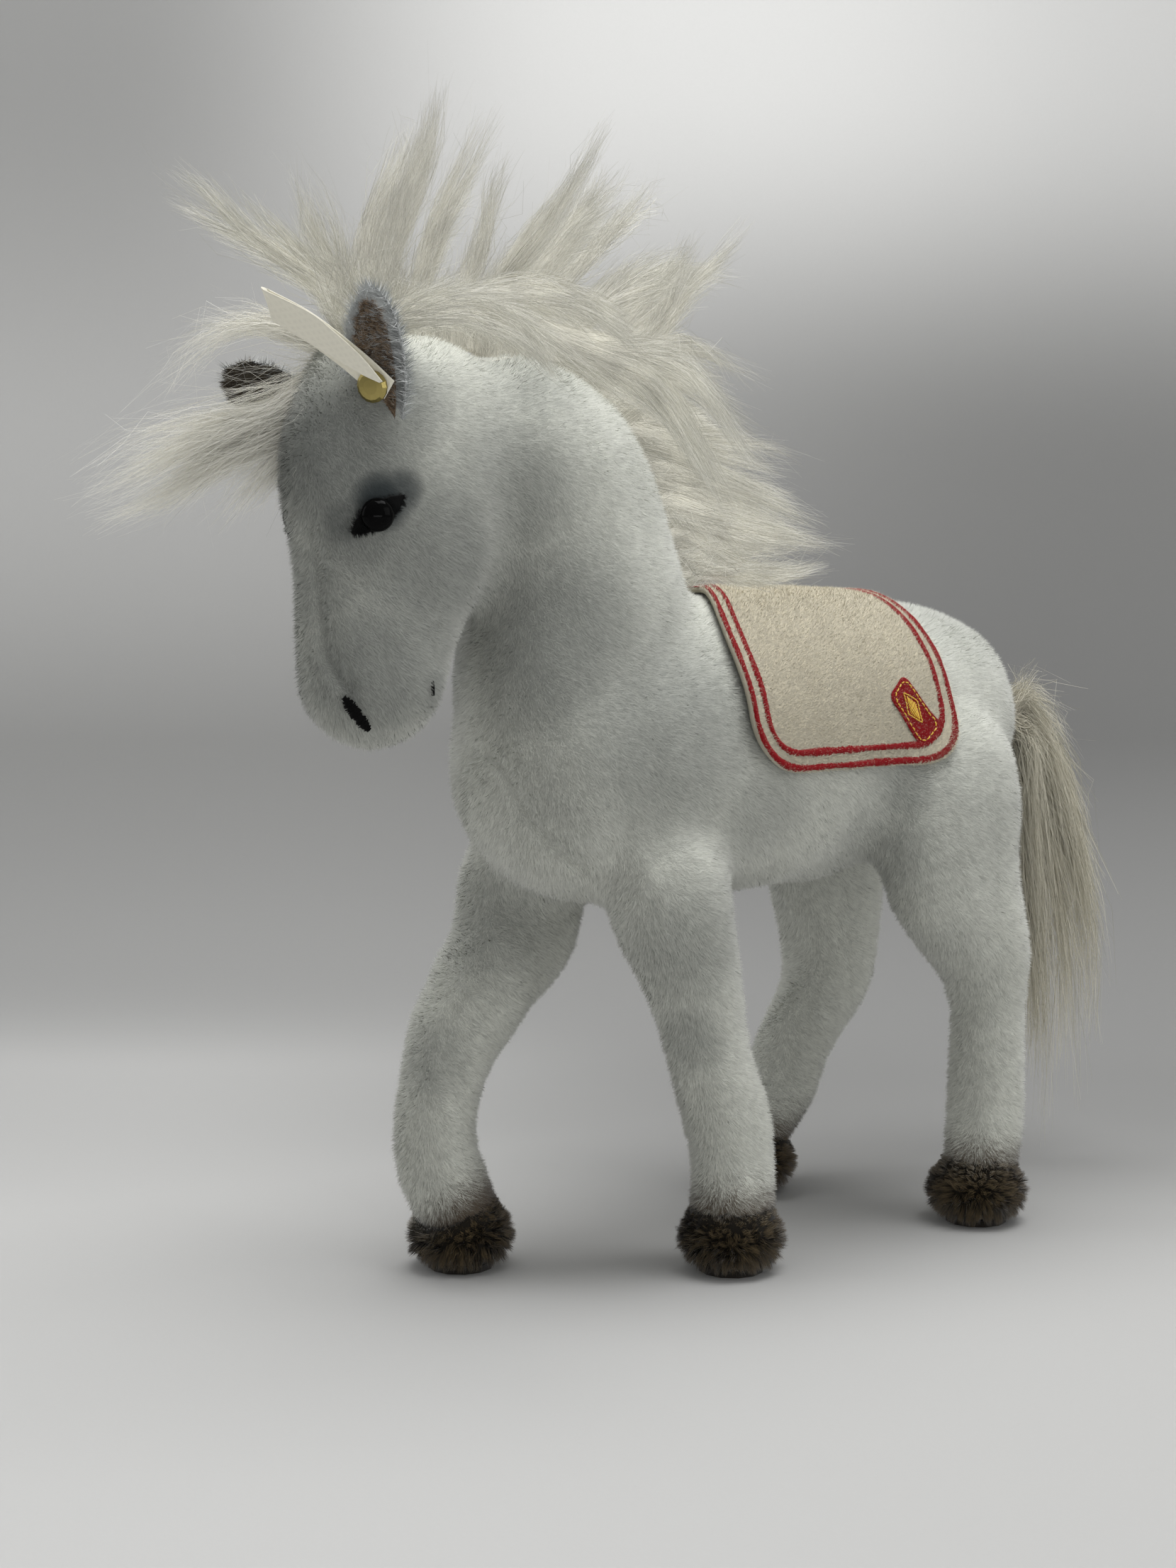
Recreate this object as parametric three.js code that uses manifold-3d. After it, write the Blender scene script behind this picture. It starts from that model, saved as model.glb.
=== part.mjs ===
// A stuffed plush horse, walking, with a felt saddle cloth, a long-pile mane and a tag in its left ear.
// Millimetres, +Z up. The horse looks along -Y and its left side is +X.
import * as THREE from "three";
import { mergeVertices } from "three/addons/utils/BufferGeometryUtils.js";
import Module from "manifold-3d";

const wasm = await Module();
wasm.setup();

// Stuffed body
const backHeight = 202;
const bodyLength = 211;
const barrelDepth = 92;
const barrelWidth = 84;
const neckRise = 71;
const neckDepth = 80;
const neckWidth = 66;
const headLength = 113;
const headDepth = 74.5;
const headWidth = 45;
const headReach = 62.5;

// Legs and hooves
const frontTrack = 54;
const hindTrack = 74;
const cannonWidth = 26;
const leftForeStride = 31;
const rightForeStride = 30;
const leftHindStride = 12;
const rightHindStride = 19.5;
const hoofWidth = 31;
const hoofHeight = 27;
const solePadWidth = 23;
const solePadThickness = 2;
const insoleWidth = 17;
const insoleThickness = 1.5;

// Ears
const earLength = 36;
const earWidth = 18.5;
const earCup = 4;
const earPileThickness = 2.2;
const earLiningThickness = 1.2;
const earLiningInset = 3.4;
const earRootDepth = 3;

// Eyes, nostrils and mouth
const eyeWidth = 9;
const eyeBulge = 3.4;
const eyeStemWidth = 3;
const eyeStemLength = 9;
const eyeWasherWidth = 9;
const eyeWasherThickness = 1.5;
const eyeFeltLength = 19;
const eyeFeltWidth = 8.6;
const eyeFeltThickness = 1;
const nostrilLength = 12;
const nostrilWidth = 3.6;
const nostrilThickness = 1.2;
const mouthLength = 9;
const mouthWidth = 1.6;
const mouthThickness = 1.2;

// Saddle cloth, its two borders and its patch
const clothThickness = 1.6;
const clothCorner = 18;
const clothNotch = 17;
const borderWidth = 1.5;
const borderHeight = 0.7;
const outerBorderInset = 2;
const innerBorderInset = 6.5;
const patchLength = 21;
const patchWidth = 11;
const patchThickness = 0.9;
const patchStitchWidth = 0.8;
const patchStitchHeight = 0.5;
const patchStitchInset = 1.2;

// Mane, forelock and tail
const maneTapeWidth = 8;
const maneTapeThickness = 1.2;
const maneRidgeWidth = 6;
const maneLength = 78;
const maneLockWidth = 12;
const forelockLength = 95;
const forelockLockWidth = 13;
const tailLength = 140;
const tailLockWidth = 18;
const tailSpread = 13;
const tailDockLength = 18;
const tailDockWidth = 10;

// Ear rivet and woven tag
const rivetWidth = 8.6;
const rivetDome = 1.8;
const rivetStemWidth = 2.6;
const rivetBackWidth = 6;
const rivetBackThickness = 0.8;
const tagLength = 42;
const tagWidth = 9;
const tagOffset = 1.4;
const tagThickness = 0.5;
const tagTail = 5;

// Wire frame inside the stuffing
const wireWidth = 3;
const wireGap = 0.3;

// Fits
const seamGap = 0.3;
const softGap = 0.6;

// Places that follow from the sizes above
const chestFront = -bodyLength * 0.479;
const barrelAxis = backHeight - barrelDepth / 2;
const pollHeight = backHeight + neckRise;
const faceFront = chestFront - headReach;
const shoulderHeight = backHeight - barrelDepth * 0.67;
const hipHeight = backHeight - barrelDepth * 0.57;
const shoulderPlace = chestFront + bodyLength * 0.21;
const hipPlace = chestFront + bodyLength * 0.763;
const clothLength = bodyLength * 0.4076;
const clothDrop = barrelDepth * 0.815;

const up = new THREE.Vector3(0, 0, 1);
const left = new THREE.Vector3(1, 0, 0);
const rear = new THREE.Vector3(0, 1, 0);

const horse = new THREE.Group();

function finish(colour, roughness, metalness = 0) {
  return new THREE.MeshStandardMaterial({ color: colour, roughness, metalness });
}
const whitePlush = () => finish(0xeceae4, 0.95);
const hoofPlush = () => finish(0x6f6257, 0.95);
const greyPlush = () => finish(0xa9abad, 0.95);
const brownPlush = () => finish(0x7a675b, 0.95);
const creamPile = () => finish(0xe9e1cf, 0.9);
const creamFelt = () => finish(0xe8e0cf, 0.95);
const redThread = () => finish(0xb3202c, 0.6);
const blackFelt = () => finish(0x17181a, 0.95);
const brass = () => finish(0xb49a45, 0.35, 1);
const steel = () => finish(0x8f9296, 0.4, 1);
const blackGloss = () => finish(0x08080a, 0.1);
const greyBoard = () => finish(0x8d877c, 0.9);
const blackPlastic = () => finish(0x222222, 0.5);
const wovenTape = () => finish(0xdcd5c4, 0.9);
const goldThread = () => finish(0xc9a23a, 0.6);

// A closed geometry as a solid that can be joined and cut
function solidOf(geometry) {
  const bare = geometry.clone();
  bare.deleteAttribute("normal");
  bare.deleteAttribute("uv");
  const merged = mergeVertices(bare);
  return new wasm.Manifold(new wasm.Mesh({
    numProp: 3,
    vertProperties: new Float32Array(merged.attributes.position.array),
    triVerts: new Uint32Array(merged.index.array),
  }));
}

// The largest body of a solid, so that a cut leaves no loose sliver
function mainBody(solid) {
  const bodies = solid.decompose();
  return bodies.reduce((best, body) => (body.volume() > best.volume() ? body : best));
}

function geometryOf(solid) {
  const { vertProperties, triVerts } = solid.getMesh();
  const geometry = new THREE.BufferGeometry();
  geometry.setAttribute("position", new THREE.BufferAttribute(vertProperties, 3));
  geometry.setIndex(new THREE.BufferAttribute(triVerts, 1));
  geometry.computeVertexNormals();
  return geometry;
}

function addPiece(name, solid, material) {
  const piece = new THREE.Mesh(geometryOf(mainBody(solid)), material);
  piece.name = name;
  horse.add(piece);
}

function cutBy(solid, ...tools) {
  return tools.reduce((rest, tool) => rest.subtract(tool), solid);
}

function joined(solids) {
  return solids.reduce((whole, solid) => whole.add(solid));
}

// A rounded form: oval rings along a spine, closed by a dome at each end.
// An angle of 0 is the form's left side and a quarter turn on is its upper or rear side.
class RoundForm {
  constructor({ places, halfWidths, halfDepths, rings, sides, startDome, endDome, fullness = 2, crown = 0,
    domeRings = 4, side = left }) {
    this.spine = new THREE.CatmullRomCurve3(places);
    this.sizes = new THREE.CatmullRomCurve3(
      places.map((_, i) => new THREE.Vector3(halfWidths[i], halfDepths[i], 0)));
    Object.assign(this, { rings, sides, startDome, endDome, fullness, crown, domeRings, side });
  }

  // How far the domes draw the section in, from 0 at the tip to 1
  swell(t) {
    const start = Math.min(1, t / this.startDome);
    const end = Math.min(1, (1 - t) / this.endDome);
    return Math.sqrt(Math.max(0, 1 - (1 - start) ** 2)) * Math.sqrt(Math.max(0, 1 - (1 - end) ** 2));
  }

  axes(t) {
    const ahead = this.spine.getTangent(t);
    const across = this.side.clone().addScaledVector(ahead, -this.side.dot(ahead)).normalize();
    return { ahead, across, over: new THREE.Vector3().crossVectors(across, ahead) };
  }

  point(t, angle) {
    const { across, over } = this.axes(t);
    const size = this.sizes.getPoint(t);
    const oval = (value) => Math.sign(value) * Math.abs(value) ** (2 / this.fullness);
    const rise = oval(Math.sin(angle));
    const reach = oval(Math.cos(angle)) * (1 + this.crown * rise);
    const swell = this.swell(t);
    return this.spine.getPoint(t)
      .addScaledVector(across, size.x * swell * reach)
      .addScaledVector(over, size.y * swell * rise);
  }

  // A point on the skin, its normal, and the two directions that lie in the skin
  frame(t, angle) {
    const probeShare = 0.002;
    const before = Math.max(probeShare, t - probeShare);
    const after = Math.min(1 - probeShare, t + probeShare);
    const along = this.point(after, angle).sub(this.point(before, angle)).divideScalar(after - before);
    const around = this.point(t, angle + probeShare).sub(this.point(t, angle - probeShare))
      .divideScalar(2 * probeShare);
    const normal = new THREE.Vector3().crossVectors(along, around).normalize();
    return { point: this.point(t, angle), normal, along, around };
  }

  skin(t, angle, lift) {
    const { point, normal } = this.frame(t, angle);
    return point.addScaledVector(normal, lift);
  }

  // A place on the skin given by two distances in the skin from a first place
  near(t, angle, along, around, lift) {
    const frame = this.frame(t, angle);
    return this.skin(t + along / frame.along.length(), angle + around / frame.around.length(), lift);
  }

  stations() {
    const quarter = Math.PI / 2;
    const dome = Array.from({ length: this.domeRings }, (_, i) => 1 - Math.cos(quarter * (i + 1) / this.domeRings));
    const middle = Array.from({ length: this.rings }, (_, i) => (i + 1) / (this.rings + 1));
    const plain = 1 - this.startDome - this.endDome;
    return [
      ...dome.map((share) => share * this.startDome),
      ...middle.map((share) => this.startDome + share * plain),
      ...dome.toReversed().map((share) => 1 - share * this.endDome),
    ];
  }

  geometry(lift = 0) {
    const stations = this.stations();
    const corners = [];
    for (const t of stations) {
      for (let j = 0; j < this.sides; j += 1) {
        corners.push(this.skin(t, (2 * Math.PI * j) / this.sides, lift));
      }
    }
    const startTip = corners.length;
    corners.push(this.spine.getPoint(0).addScaledVector(this.axes(0).ahead, -lift));
    const endTip = corners.length;
    corners.push(this.spine.getPoint(1).addScaledVector(this.axes(1).ahead, lift));
    const faces = [];
    const last = (stations.length - 1) * this.sides;
    for (let j = 0; j < this.sides; j += 1) {
      const next = (j + 1) % this.sides;
      faces.push(startTip, j, next, endTip, last + next, last + j);
      for (let row = 0; row < last; row += this.sides) {
        const ahead = row + this.sides;
        faces.push(row + j, ahead + j, ahead + next, row + j, ahead + next, row + next);
      }
    }
    return new THREE.BufferGeometry().setFromPoints(corners).setIndex(faces);
  }

  solid(lift = 0) {
    return solidOf(this.geometry(lift));
  }
}

// A sheet with two faces and a closed rim. place(u, v, face) takes u and v from 0 to 1, and face 0 or 1,
// where face 1 lies on the side that u crossed with v points to.
function sheetSolid(place, columns, rows) {
  const corners = [];
  for (const face of [0, 1]) {
    for (let i = 0; i <= columns; i += 1) {
      for (let j = 0; j <= rows; j += 1) {
        corners.push(place(i / columns, j / rows, face));
      }
    }
  }
  const layer = (columns + 1) * (rows + 1);
  const at = (i, j, face) => face * layer + i * (rows + 1) + j;
  const faces = [];
  const quad = (a, b, c, d) => faces.push(a, b, c, a, c, d);
  for (let i = 0; i < columns; i += 1) {
    for (let j = 0; j < rows; j += 1) {
      quad(at(i, j, 1), at(i + 1, j, 1), at(i + 1, j + 1, 1), at(i, j + 1, 1));
      quad(at(i, j, 0), at(i, j + 1, 0), at(i + 1, j + 1, 0), at(i + 1, j, 0));
    }
    quad(at(i, 0, 0), at(i + 1, 0, 0), at(i + 1, 0, 1), at(i, 0, 1));
    quad(at(i, rows, 0), at(i, rows, 1), at(i + 1, rows, 1), at(i + 1, rows, 0));
  }
  for (let j = 0; j < rows; j += 1) {
    quad(at(0, j, 0), at(0, j, 1), at(0, j + 1, 1), at(0, j + 1, 0));
    quad(at(columns, j, 0), at(columns, j + 1, 0), at(columns, j + 1, 1), at(columns, j, 1));
  }
  return solidOf(new THREE.BufferGeometry().setFromPoints(corners).setIndex(faces));
}

// A closed ribbon of rectangular section round a loop of places, each with its point and outward direction
function loopRibbon(places, width, height) {
  const count = places.length;
  const corners = [];
  places.forEach(({ point, outward }, k) => {
    const ahead = places[(k + 1) % count].point.clone().sub(places[(k + count - 1) % count].point);
    const aside = new THREE.Vector3().crossVectors(outward, ahead).normalize().multiplyScalar(width / 2);
    const lift = outward.clone().multiplyScalar(height);
    corners.push(point.clone().sub(aside), point.clone().add(aside));
    corners.push(point.clone().add(aside).add(lift), point.clone().sub(aside).add(lift));
  });
  const faces = [];
  const ribbonSides = 4;
  for (let k = 0; k < count; k += 1) {
    const here = k * ribbonSides;
    const next = ((k + 1) % count) * ribbonSides;
    for (let c = 0; c < ribbonSides; c += 1) {
      const d = (c + 1) % ribbonSides;
      faces.push(here + c, here + d, next + d, here + c, next + d, next + c);
    }
  }
  return solidOf(new THREE.BufferGeometry().setFromPoints(corners).setIndex(faces));
}

// A wire or its channel: a round section swept along a curve
function wireSolid(path, width, steps) {
  const wireSides = 6;
  const shape = new THREE.Shape(new THREE.EllipseCurve(0, 0, width / 2, width / 2).getPoints(wireSides).slice(1));
  return solidOf(new THREE.ExtrudeGeometry(shape, { steps, extrudePath: path, bevelEnabled: false }));
}

// A turned piece whose axis runs from a point along a direction
function turned(profile, point, direction, sides = 16) {
  const outline = profile.map(([radius, height]) => new THREE.Vector2(radius, height));
  const geometry = new THREE.LatheGeometry(outline, sides);
  const turn = new THREE.Quaternion().setFromUnitVectors(rear, direction);
  geometry.applyMatrix4(new THREE.Matrix4().compose(point, turn, new THREE.Vector3(1, 1, 1)));
  return solidOf(geometry);
}

function rod(width, from, to, point, direction, sides = 12) {
  return turned([[0, from], [width / 2, from], [width / 2, to], [0, to]], point, direction, sides);
}

// Torso: from the chest to the rump. Each row gives shares of the body's length, and of the barrel's depth
// for the height of the middle, then of the barrel's depth and width.
const torsoShares = [
  [0.00, -0.02, 0.80, 0.78],
  [0.10, -0.02, 0.90, 0.86],
  [0.25, 0.00, 1.00, 0.96],
  [0.45, 0.00, 1.00, 1.00],
  [0.62, 0.01, 0.97, 1.00],
  [0.78, 0.06, 0.83, 0.98],
  [0.90, 0.05, 0.76, 0.90],
  [1.00, 0.02, 0.70, 0.78],
];
const torsoForm = new RoundForm({
  places: torsoShares.map(([along, rise]) =>
    new THREE.Vector3(0, chestFront + along * bodyLength, barrelAxis + rise * barrelDepth)),
  halfDepths: torsoShares.map(([, , depth]) => (depth * barrelDepth) / 2),
  halfWidths: torsoShares.map(([, , , width]) => (width * barrelWidth) / 2),
  rings: 10,
  sides: 22,
  startDome: 0.2,
  endDome: 0.22,
  crown: -0.06,
});

// Neck: from inside the shoulders up and over to the poll. Each row gives shares of the neck's depth behind
// the chest, of the rise from barrel to poll, and of the neck's depth and width.
const neckShares = [
  [0.57, 0.00, 0.92, 0.96],
  [0.50, 0.20, 1.00, 1.00],
  [0.48, 0.36, 0.99, 0.92],
  [0.42, 0.54, 0.87, 0.84],
  [0.31, 0.70, 0.84, 0.78],
  [0.13, 0.83, 0.72, 0.70],
  [-0.02, 0.95, 0.66, 0.62],
];
const neckBase = barrelAxis - barrelDepth * 0.17;
const neckForm = new RoundForm({
  places: neckShares.map(([back, rise]) =>
    new THREE.Vector3(0, chestFront + back * neckDepth, neckBase + rise * (pollHeight - neckBase))),
  halfDepths: neckShares.map(([, , depth]) => (depth * neckDepth) / 2),
  halfWidths: neckShares.map(([, , , width]) => (width * neckWidth) / 2),
  rings: 10,
  sides: 20,
  startDome: 0.12,
  endDome: 0.3,
  crown: 0.05,
});

// Head: hangs from the poll with the face nearly upright. Each row gives shares of the head's length below
// the poll, of its depth behind the face, and of its depth and width.
const headShares = [
  [0.00, 0.68, 0.62, 0.62],
  [0.10, 0.64, 0.78, 0.78],
  [0.20, 0.56, 0.92, 0.93],
  [0.32, 0.50, 1.00, 0.99],
  [0.45, 0.473, 0.92, 1.00],
  [0.57, 0.438, 0.80, 0.92],
  [0.67, 0.402, 0.70, 0.84],
  [0.77, 0.382, 0.63, 0.81],
  [0.88, 0.37, 0.57, 0.78],
  [1.00, 0.37, 0.50, 0.70],
];
const headForm = new RoundForm({
  places: headShares.map(([down, back]) =>
    new THREE.Vector3(0, faceFront + back * headDepth, pollHeight - down * headLength)),
  halfDepths: headShares.map(([, , depth]) => (depth * headDepth) / 2),
  halfWidths: headShares.map(([, , , width]) => (width * headWidth) / 2),
  rings: 10,
  sides: 18,
  startDome: 0.14,
  endDome: 0.14,
  crown: 0.12,
});

// Legs: from inside the body down into the hoof. Each row gives the height as a share of the shoulder or hip,
// the place as a share of the stride from shoulder or hip to hoof, and the width and depth in cannon widths.
const leftForeShares = [
  [1.00, 0.00, 1.45, 1.90],
  [0.84, 0.18, 1.42, 1.70],
  [0.71, 0.40, 1.22, 1.30],
  [0.61, 0.54, 1.10, 1.12],
  [0.51, 0.65, 1.04, 1.04],
  [0.42, 0.78, 0.99, 0.99],
  [0.32, 0.94, 1.02, 1.07],
  [0.24, 1.02, 1.00, 1.02],
  [0.14, 1.00, 1.04, 1.04],
  [0.05, 1.00, 0.90, 0.90],
];
const rightForeShares = [
  [1.00, 0.00, 1.40, 1.85],
  [0.84, 0.18, 1.34, 1.75],
  [0.71, 0.34, 1.28, 1.58],
  [0.60, 0.72, 1.20, 1.30],
  [0.51, 1.05, 1.12, 1.16],
  [0.40, 1.27, 0.98, 0.98],
  [0.29, 1.31, 0.95, 0.95],
  [0.20, 1.20, 1.00, 1.02],
  [0.13, 1.04, 1.00, 1.00],
  [0.05, 1.00, 0.88, 0.88],
];
const leftHindShares = [
  [1.12, 0.00, 1.30, 1.95],
  [0.98, -0.16, 1.42, 2.15],
  [0.84, -0.42, 1.45, 2.30],
  [0.70, 0.25, 1.35, 1.80],
  [0.56, 1.25, 1.14, 1.18],
  [0.43, 1.37, 0.93, 0.95],
  [0.31, 1.38, 0.95, 0.98],
  [0.23, 1.30, 0.98, 1.00],
  [0.14, 1.08, 0.96, 0.96],
  [0.05, 1.00, 0.88, 0.88],
];
const rightHindShares = [
  [1.10, 0.00, 1.30, 2.20],
  [0.96, -0.20, 1.45, 2.20],
  [0.78, -0.70, 1.42, 2.00],
  [0.62, -1.00, 1.32, 1.60],
  [0.52, -0.95, 1.20, 1.36],
  [0.43, -0.66, 1.08, 1.16],
  [0.32, -0.10, 0.98, 1.04],
  [0.21, 0.44, 0.96, 0.98],
  [0.12, 0.95, 0.96, 0.96],
  [0.05, 1.00, 0.86, 0.86],
];

function legForm(shares, track, top, place, stride) {
  return new RoundForm({
    places: shares.map(([height, step]) => new THREE.Vector3(track, place + step * stride, height * top)),
    halfWidths: shares.map(([, , width]) => (width * cannonWidth) / 2),
    halfDepths: shares.map(([, , , depth]) => (depth * cannonWidth) / 2),
    rings: 9,
    sides: 12,
    startDome: 0.14,
    endDome: 0.1,
    domeRings: 3,
  });
}

const legs = [
  { name: "front_left", shares: leftForeShares, x: frontTrack / 2, top: shoulderHeight, place: shoulderPlace,
    stride: leftForeStride },
  { name: "front_right", shares: rightForeShares, x: -frontTrack / 2, top: shoulderHeight, place: shoulderPlace,
    stride: -rightForeStride },
  { name: "hind_left", shares: leftHindShares, x: hindTrack / 2, top: hipHeight, place: hipPlace,
    stride: leftHindStride },
  { name: "hind_right", shares: rightHindShares, x: -hindTrack / 2, top: hipHeight, place: hipPlace,
    stride: -rightHindStride },
];
for (const leg of legs) {
  leg.form = legForm(leg.shares, leg.x, leg.top, leg.place, leg.stride);
  leg.hoofPlace = leg.place + leg.stride;
}

// Wire frame: one wire along the back and neck, and one down each pair of legs. Each lies in a channel of
// its own through the stuffing, and the leg wires pass just under the back wire.
const wireSteps = 20;
const wireEndShare = 0.93;
const neckWireShares = [0.25, 0.45, 0.6, 0.75, 0.9];
const legWireShares = [0.75, 0.55, 0.35, 0.18, 0.06];
const headWireShare = 0.25;
const withersWireShare = 0.75;

function backWirePath(overrun) {
  return new THREE.CatmullRomCurve3([
    new THREE.Vector3(0, hipPlace + wireWidth + overrun, barrelAxis),
    new THREE.Vector3(0, (shoulderPlace + hipPlace) / 2, barrelAxis),
    new THREE.Vector3(0, shoulderPlace * withersWireShare, barrelAxis),
    ...neckWireShares.map((share) => neckForm.spine.getPoint(share)),
    headForm.spine.getPoint(headWireShare).addScaledVector(rear, -overrun),
  ]);
}

function legWirePath(leftLeg, rightLeg, overrun) {
  const shares = [wireEndShare + overrun / leftLeg.spine.getLength(), ...legWireShares];
  const crossing = new THREE.Vector3(0, (leftLeg.spine.getPoint(0).y + rightLeg.spine.getPoint(0).y) / 2,
    barrelAxis - wireWidth - 2 * wireGap);
  return new THREE.CatmullRomCurve3([
    ...shares.map((share) => leftLeg.spine.getPoint(share)),
    crossing,
    ...shares.toReversed().map((share) => rightLeg.spine.getPoint(share)),
  ]);
}

const [leftFore, rightFore, leftHind, rightHind] = legs;
const wires = {
  back_wire: (overrun) => backWirePath(overrun),
  front_leg_wire: (overrun) => legWirePath(leftFore.form, rightFore.form, overrun),
  hind_leg_wire: (overrun) => legWirePath(leftHind.form, rightHind.form, overrun),
};
const channels = {};
for (const [name, path] of Object.entries(wires)) {
  channels[name] = wireSolid(path(wireGap), wireWidth + 2 * wireGap, wireSteps);
  addPiece(name, wireSolid(path(0), wireWidth, wireSteps), steel());
}

// Eyes: a glossy dome on a stem, through a felt almond and the plush, held by a washer behind it.
// Places on the head's skin are a share along its spine and an angle round it, here for the left side.
const eyeShares = { along: 0.454, angle: -0.53, turn: -0.85, taper: 0.8 };
const mirrored = (angle) => Math.PI - angle;
const bothSides = [["left", 1, (angle) => angle], ["right", -1, mirrored]];

// A leaf with two points, laid on a form's skin
function almond(form, along, angle, turn, length, width, thickness, lift, taper) {
  const bluntShare = 0.96;
  return sheetSolid((u, v, face) => {
    const reach = (2 * u - 1) * bluntShare;
    const ahead = (reach * length) / 2;
    const across = (2 * v - 1) * (width / 2) * (1 - reach * reach) ** taper;
    return form.near(along, angle, ahead * Math.cos(turn) - across * Math.sin(turn),
      ahead * Math.sin(turn) + across * Math.cos(turn), lift + face * thickness);
  }, 7, 3);
}

const eyeHollows = [];
const feltTop = 2 * seamGap + eyeFeltThickness;
const domeStart = feltTop + seamGap;
const stemEnd = -eyeStemLength;
const domeShares = [[1, 0], [0.96, 0.3], [0.83, 0.57], [0.6, 0.81], [0.32, 0.95], [0, 1]];
for (const [side, sign, turnTo] of bothSides) {
  const { point, normal } = headForm.frame(eyeShares.along, turnTo(eyeShares.angle));
  const stemHole = rod(eyeStemWidth + 2 * seamGap, stemEnd - seamGap, domeStart, point, normal);
  addPiece(`${side}_eye`, turned([
    [0, stemEnd],
    [eyeStemWidth / 2, stemEnd],
    [eyeStemWidth / 2, domeStart],
    ...domeShares.map(([radius, height]) => [(radius * eyeWidth) / 2, domeStart + height * eyeBulge]),
  ], point, normal), blackGloss());
  addPiece(`${side}_eye_felt`, almond(headForm, eyeShares.along, turnTo(eyeShares.angle), sign * eyeShares.turn,
    eyeFeltLength, eyeFeltWidth, eyeFeltThickness, 2 * seamGap, eyeShares.taper).subtract(stemHole), blackFelt());
  addPiece(`${side}_eye_washer`, rod(eyeWasherWidth, stemEnd, stemEnd + eyeWasherThickness, point, normal)
    .subtract(stemHole), blackPlastic());
  eyeHollows.push(stemHole, rod(eyeWasherWidth + 2 * seamGap, stemEnd - seamGap,
    stemEnd + eyeWasherThickness + seamGap, point, normal));
}

// Nostrils and mouth corners: short raised satin stitches
const nostrilShares = { along: 0.91, angle: -0.67, turn: 0.72 };
const mouthShares = { along: 0.85, angle: 0.48, turn: 0.35 };
const stitchTaperShare = 0.5;
for (const [side, sign, turnTo] of bothSides) {
  addPiece(`${side}_nostril`, almond(headForm, nostrilShares.along, turnTo(nostrilShares.angle),
    sign * nostrilShares.turn, nostrilLength, nostrilWidth, nostrilThickness, seamGap, stitchTaperShare),
  blackFelt());
  addPiece(`${side}_mouth_stitch`, almond(headForm, mouthShares.along, turnTo(mouthShares.angle),
    sign * mouthShares.turn, mouthLength, mouthWidth, mouthThickness, seamGap, stitchTaperShare),
  blackFelt());
}

// The skins that neighbours are cut by, one seam gap outside the forms
const torsoSkin = torsoForm.solid(seamGap);
const neckSkin = neckForm.solid(seamGap);
const headSkin = headForm.solid(seamGap);

// Legs and hooves: the hoof is a ball of brown plush over the end of the leg, with an insole and a sole pad.
// Each row of the hoof is a share of its height and of its width.
const hoofShares = [[0, 0.94], [0.4, 1], [0.75, 0.97], [1, 0.9]];
for (const leg of legs) {
  const channel = leg.name.startsWith("front") ? channels.front_leg_wire : channels.hind_leg_wire;
  addPiece(`${leg.name}_leg`, cutBy(leg.form.solid(), torsoSkin, channel), whitePlush());
  const hoofForm = new RoundForm({
    places: hoofShares.map(([height]) => new THREE.Vector3(leg.x, leg.hoofPlace, height * hoofHeight)),
    halfWidths: hoofShares.map(([, width]) => (width * hoofWidth) / 2),
    halfDepths: hoofShares.map(([, width]) => (width * hoofWidth) / 2),
    rings: 2,
    sides: 14,
    startDome: 0.25,
    endDome: 0.35,
    domeRings: 3,
  });
  const ground = new THREE.Vector3(leg.x, leg.hoofPlace, 0);
  const insoleStart = solePadThickness + seamGap;
  const insoleEnd = insoleStart + insoleThickness;
  addPiece(`${leg.name}_hoof`, cutBy(hoofForm.solid(), leg.form.solid(seamGap), leg.form.solid(),
    rod(solePadWidth + 2 * seamGap, -seamGap, solePadThickness + seamGap, ground, up),
    rod(insoleWidth + 2 * seamGap, 0, insoleEnd + seamGap, ground, up)), hoofPlush());
  addPiece(`${leg.name}_insole`, rod(insoleWidth, insoleStart, insoleEnd, ground, up), greyBoard());
  addPiece(`${leg.name}_sole_pad`, rod(solePadWidth, 0, solePadThickness, ground, up), hoofPlush());
}

// Ears: a cupped leaf of plush with a lining inside the cup. The left one stands up and the right one lies
// out to its side. The shares are parts of a unit direction to the left, rear and top.
const earRootShares = { along: 0.278, angle: -0.6 };
const earTipShares = { left: [0.14, -0.2, 0.97], right: [-0.8, -0.36, 0.42] };
const earOpeningShares = { left: [0.5, -0.87, 0], right: [0.42, -0.74, 0.1] };
const earBellyShare = 0.42;
const earBaseShare = 0.62;
const earPointShare = 0.6;

function earOutline(share) {
  const beyond = (share - earBellyShare) / earPointShare;
  return share < earBellyShare
    ? earBaseShare + (1 - earBaseShare) * Math.sin((share / earBellyShare) * (Math.PI / 2))
    : Math.sqrt(1 - beyond * beyond);
}

function earFrame(side, turnTo) {
  const along = new THREE.Vector3(...earTipShares[side]).normalize();
  const opening = new THREE.Vector3(...earOpeningShares[side]);
  const out = opening.addScaledVector(along, -opening.dot(along)).normalize();
  const across = new THREE.Vector3().crossVectors(along, out);
  const root = headForm.skin(earRootShares.along, turnTo(earRootShares.angle), 0)
    .addScaledVector(along, -earRootDepth);
  return { root, along, across, out };
}

// A leaf of the ear between two depths measured from its plush's inner face, and inset from its edge
function earLeaf(frame, inset, from, thickness) {
  return sheetSolid((u, v, face) => {
    const half = ((earWidth - 2 * inset) / 2) * earOutline(v);
    const side = (2 * u - 1) * half;
    const cup = earCup * (1 - v / 2) * (1 - ((2 * side) / earWidth) ** 2);
    return frame.root.clone()
      .addScaledVector(frame.along, v * (earLength - inset))
      .addScaledVector(frame.across, side)
      .addScaledVector(frame.out, from + face * thickness - cup);
  }, 6, 7);
}

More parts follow.
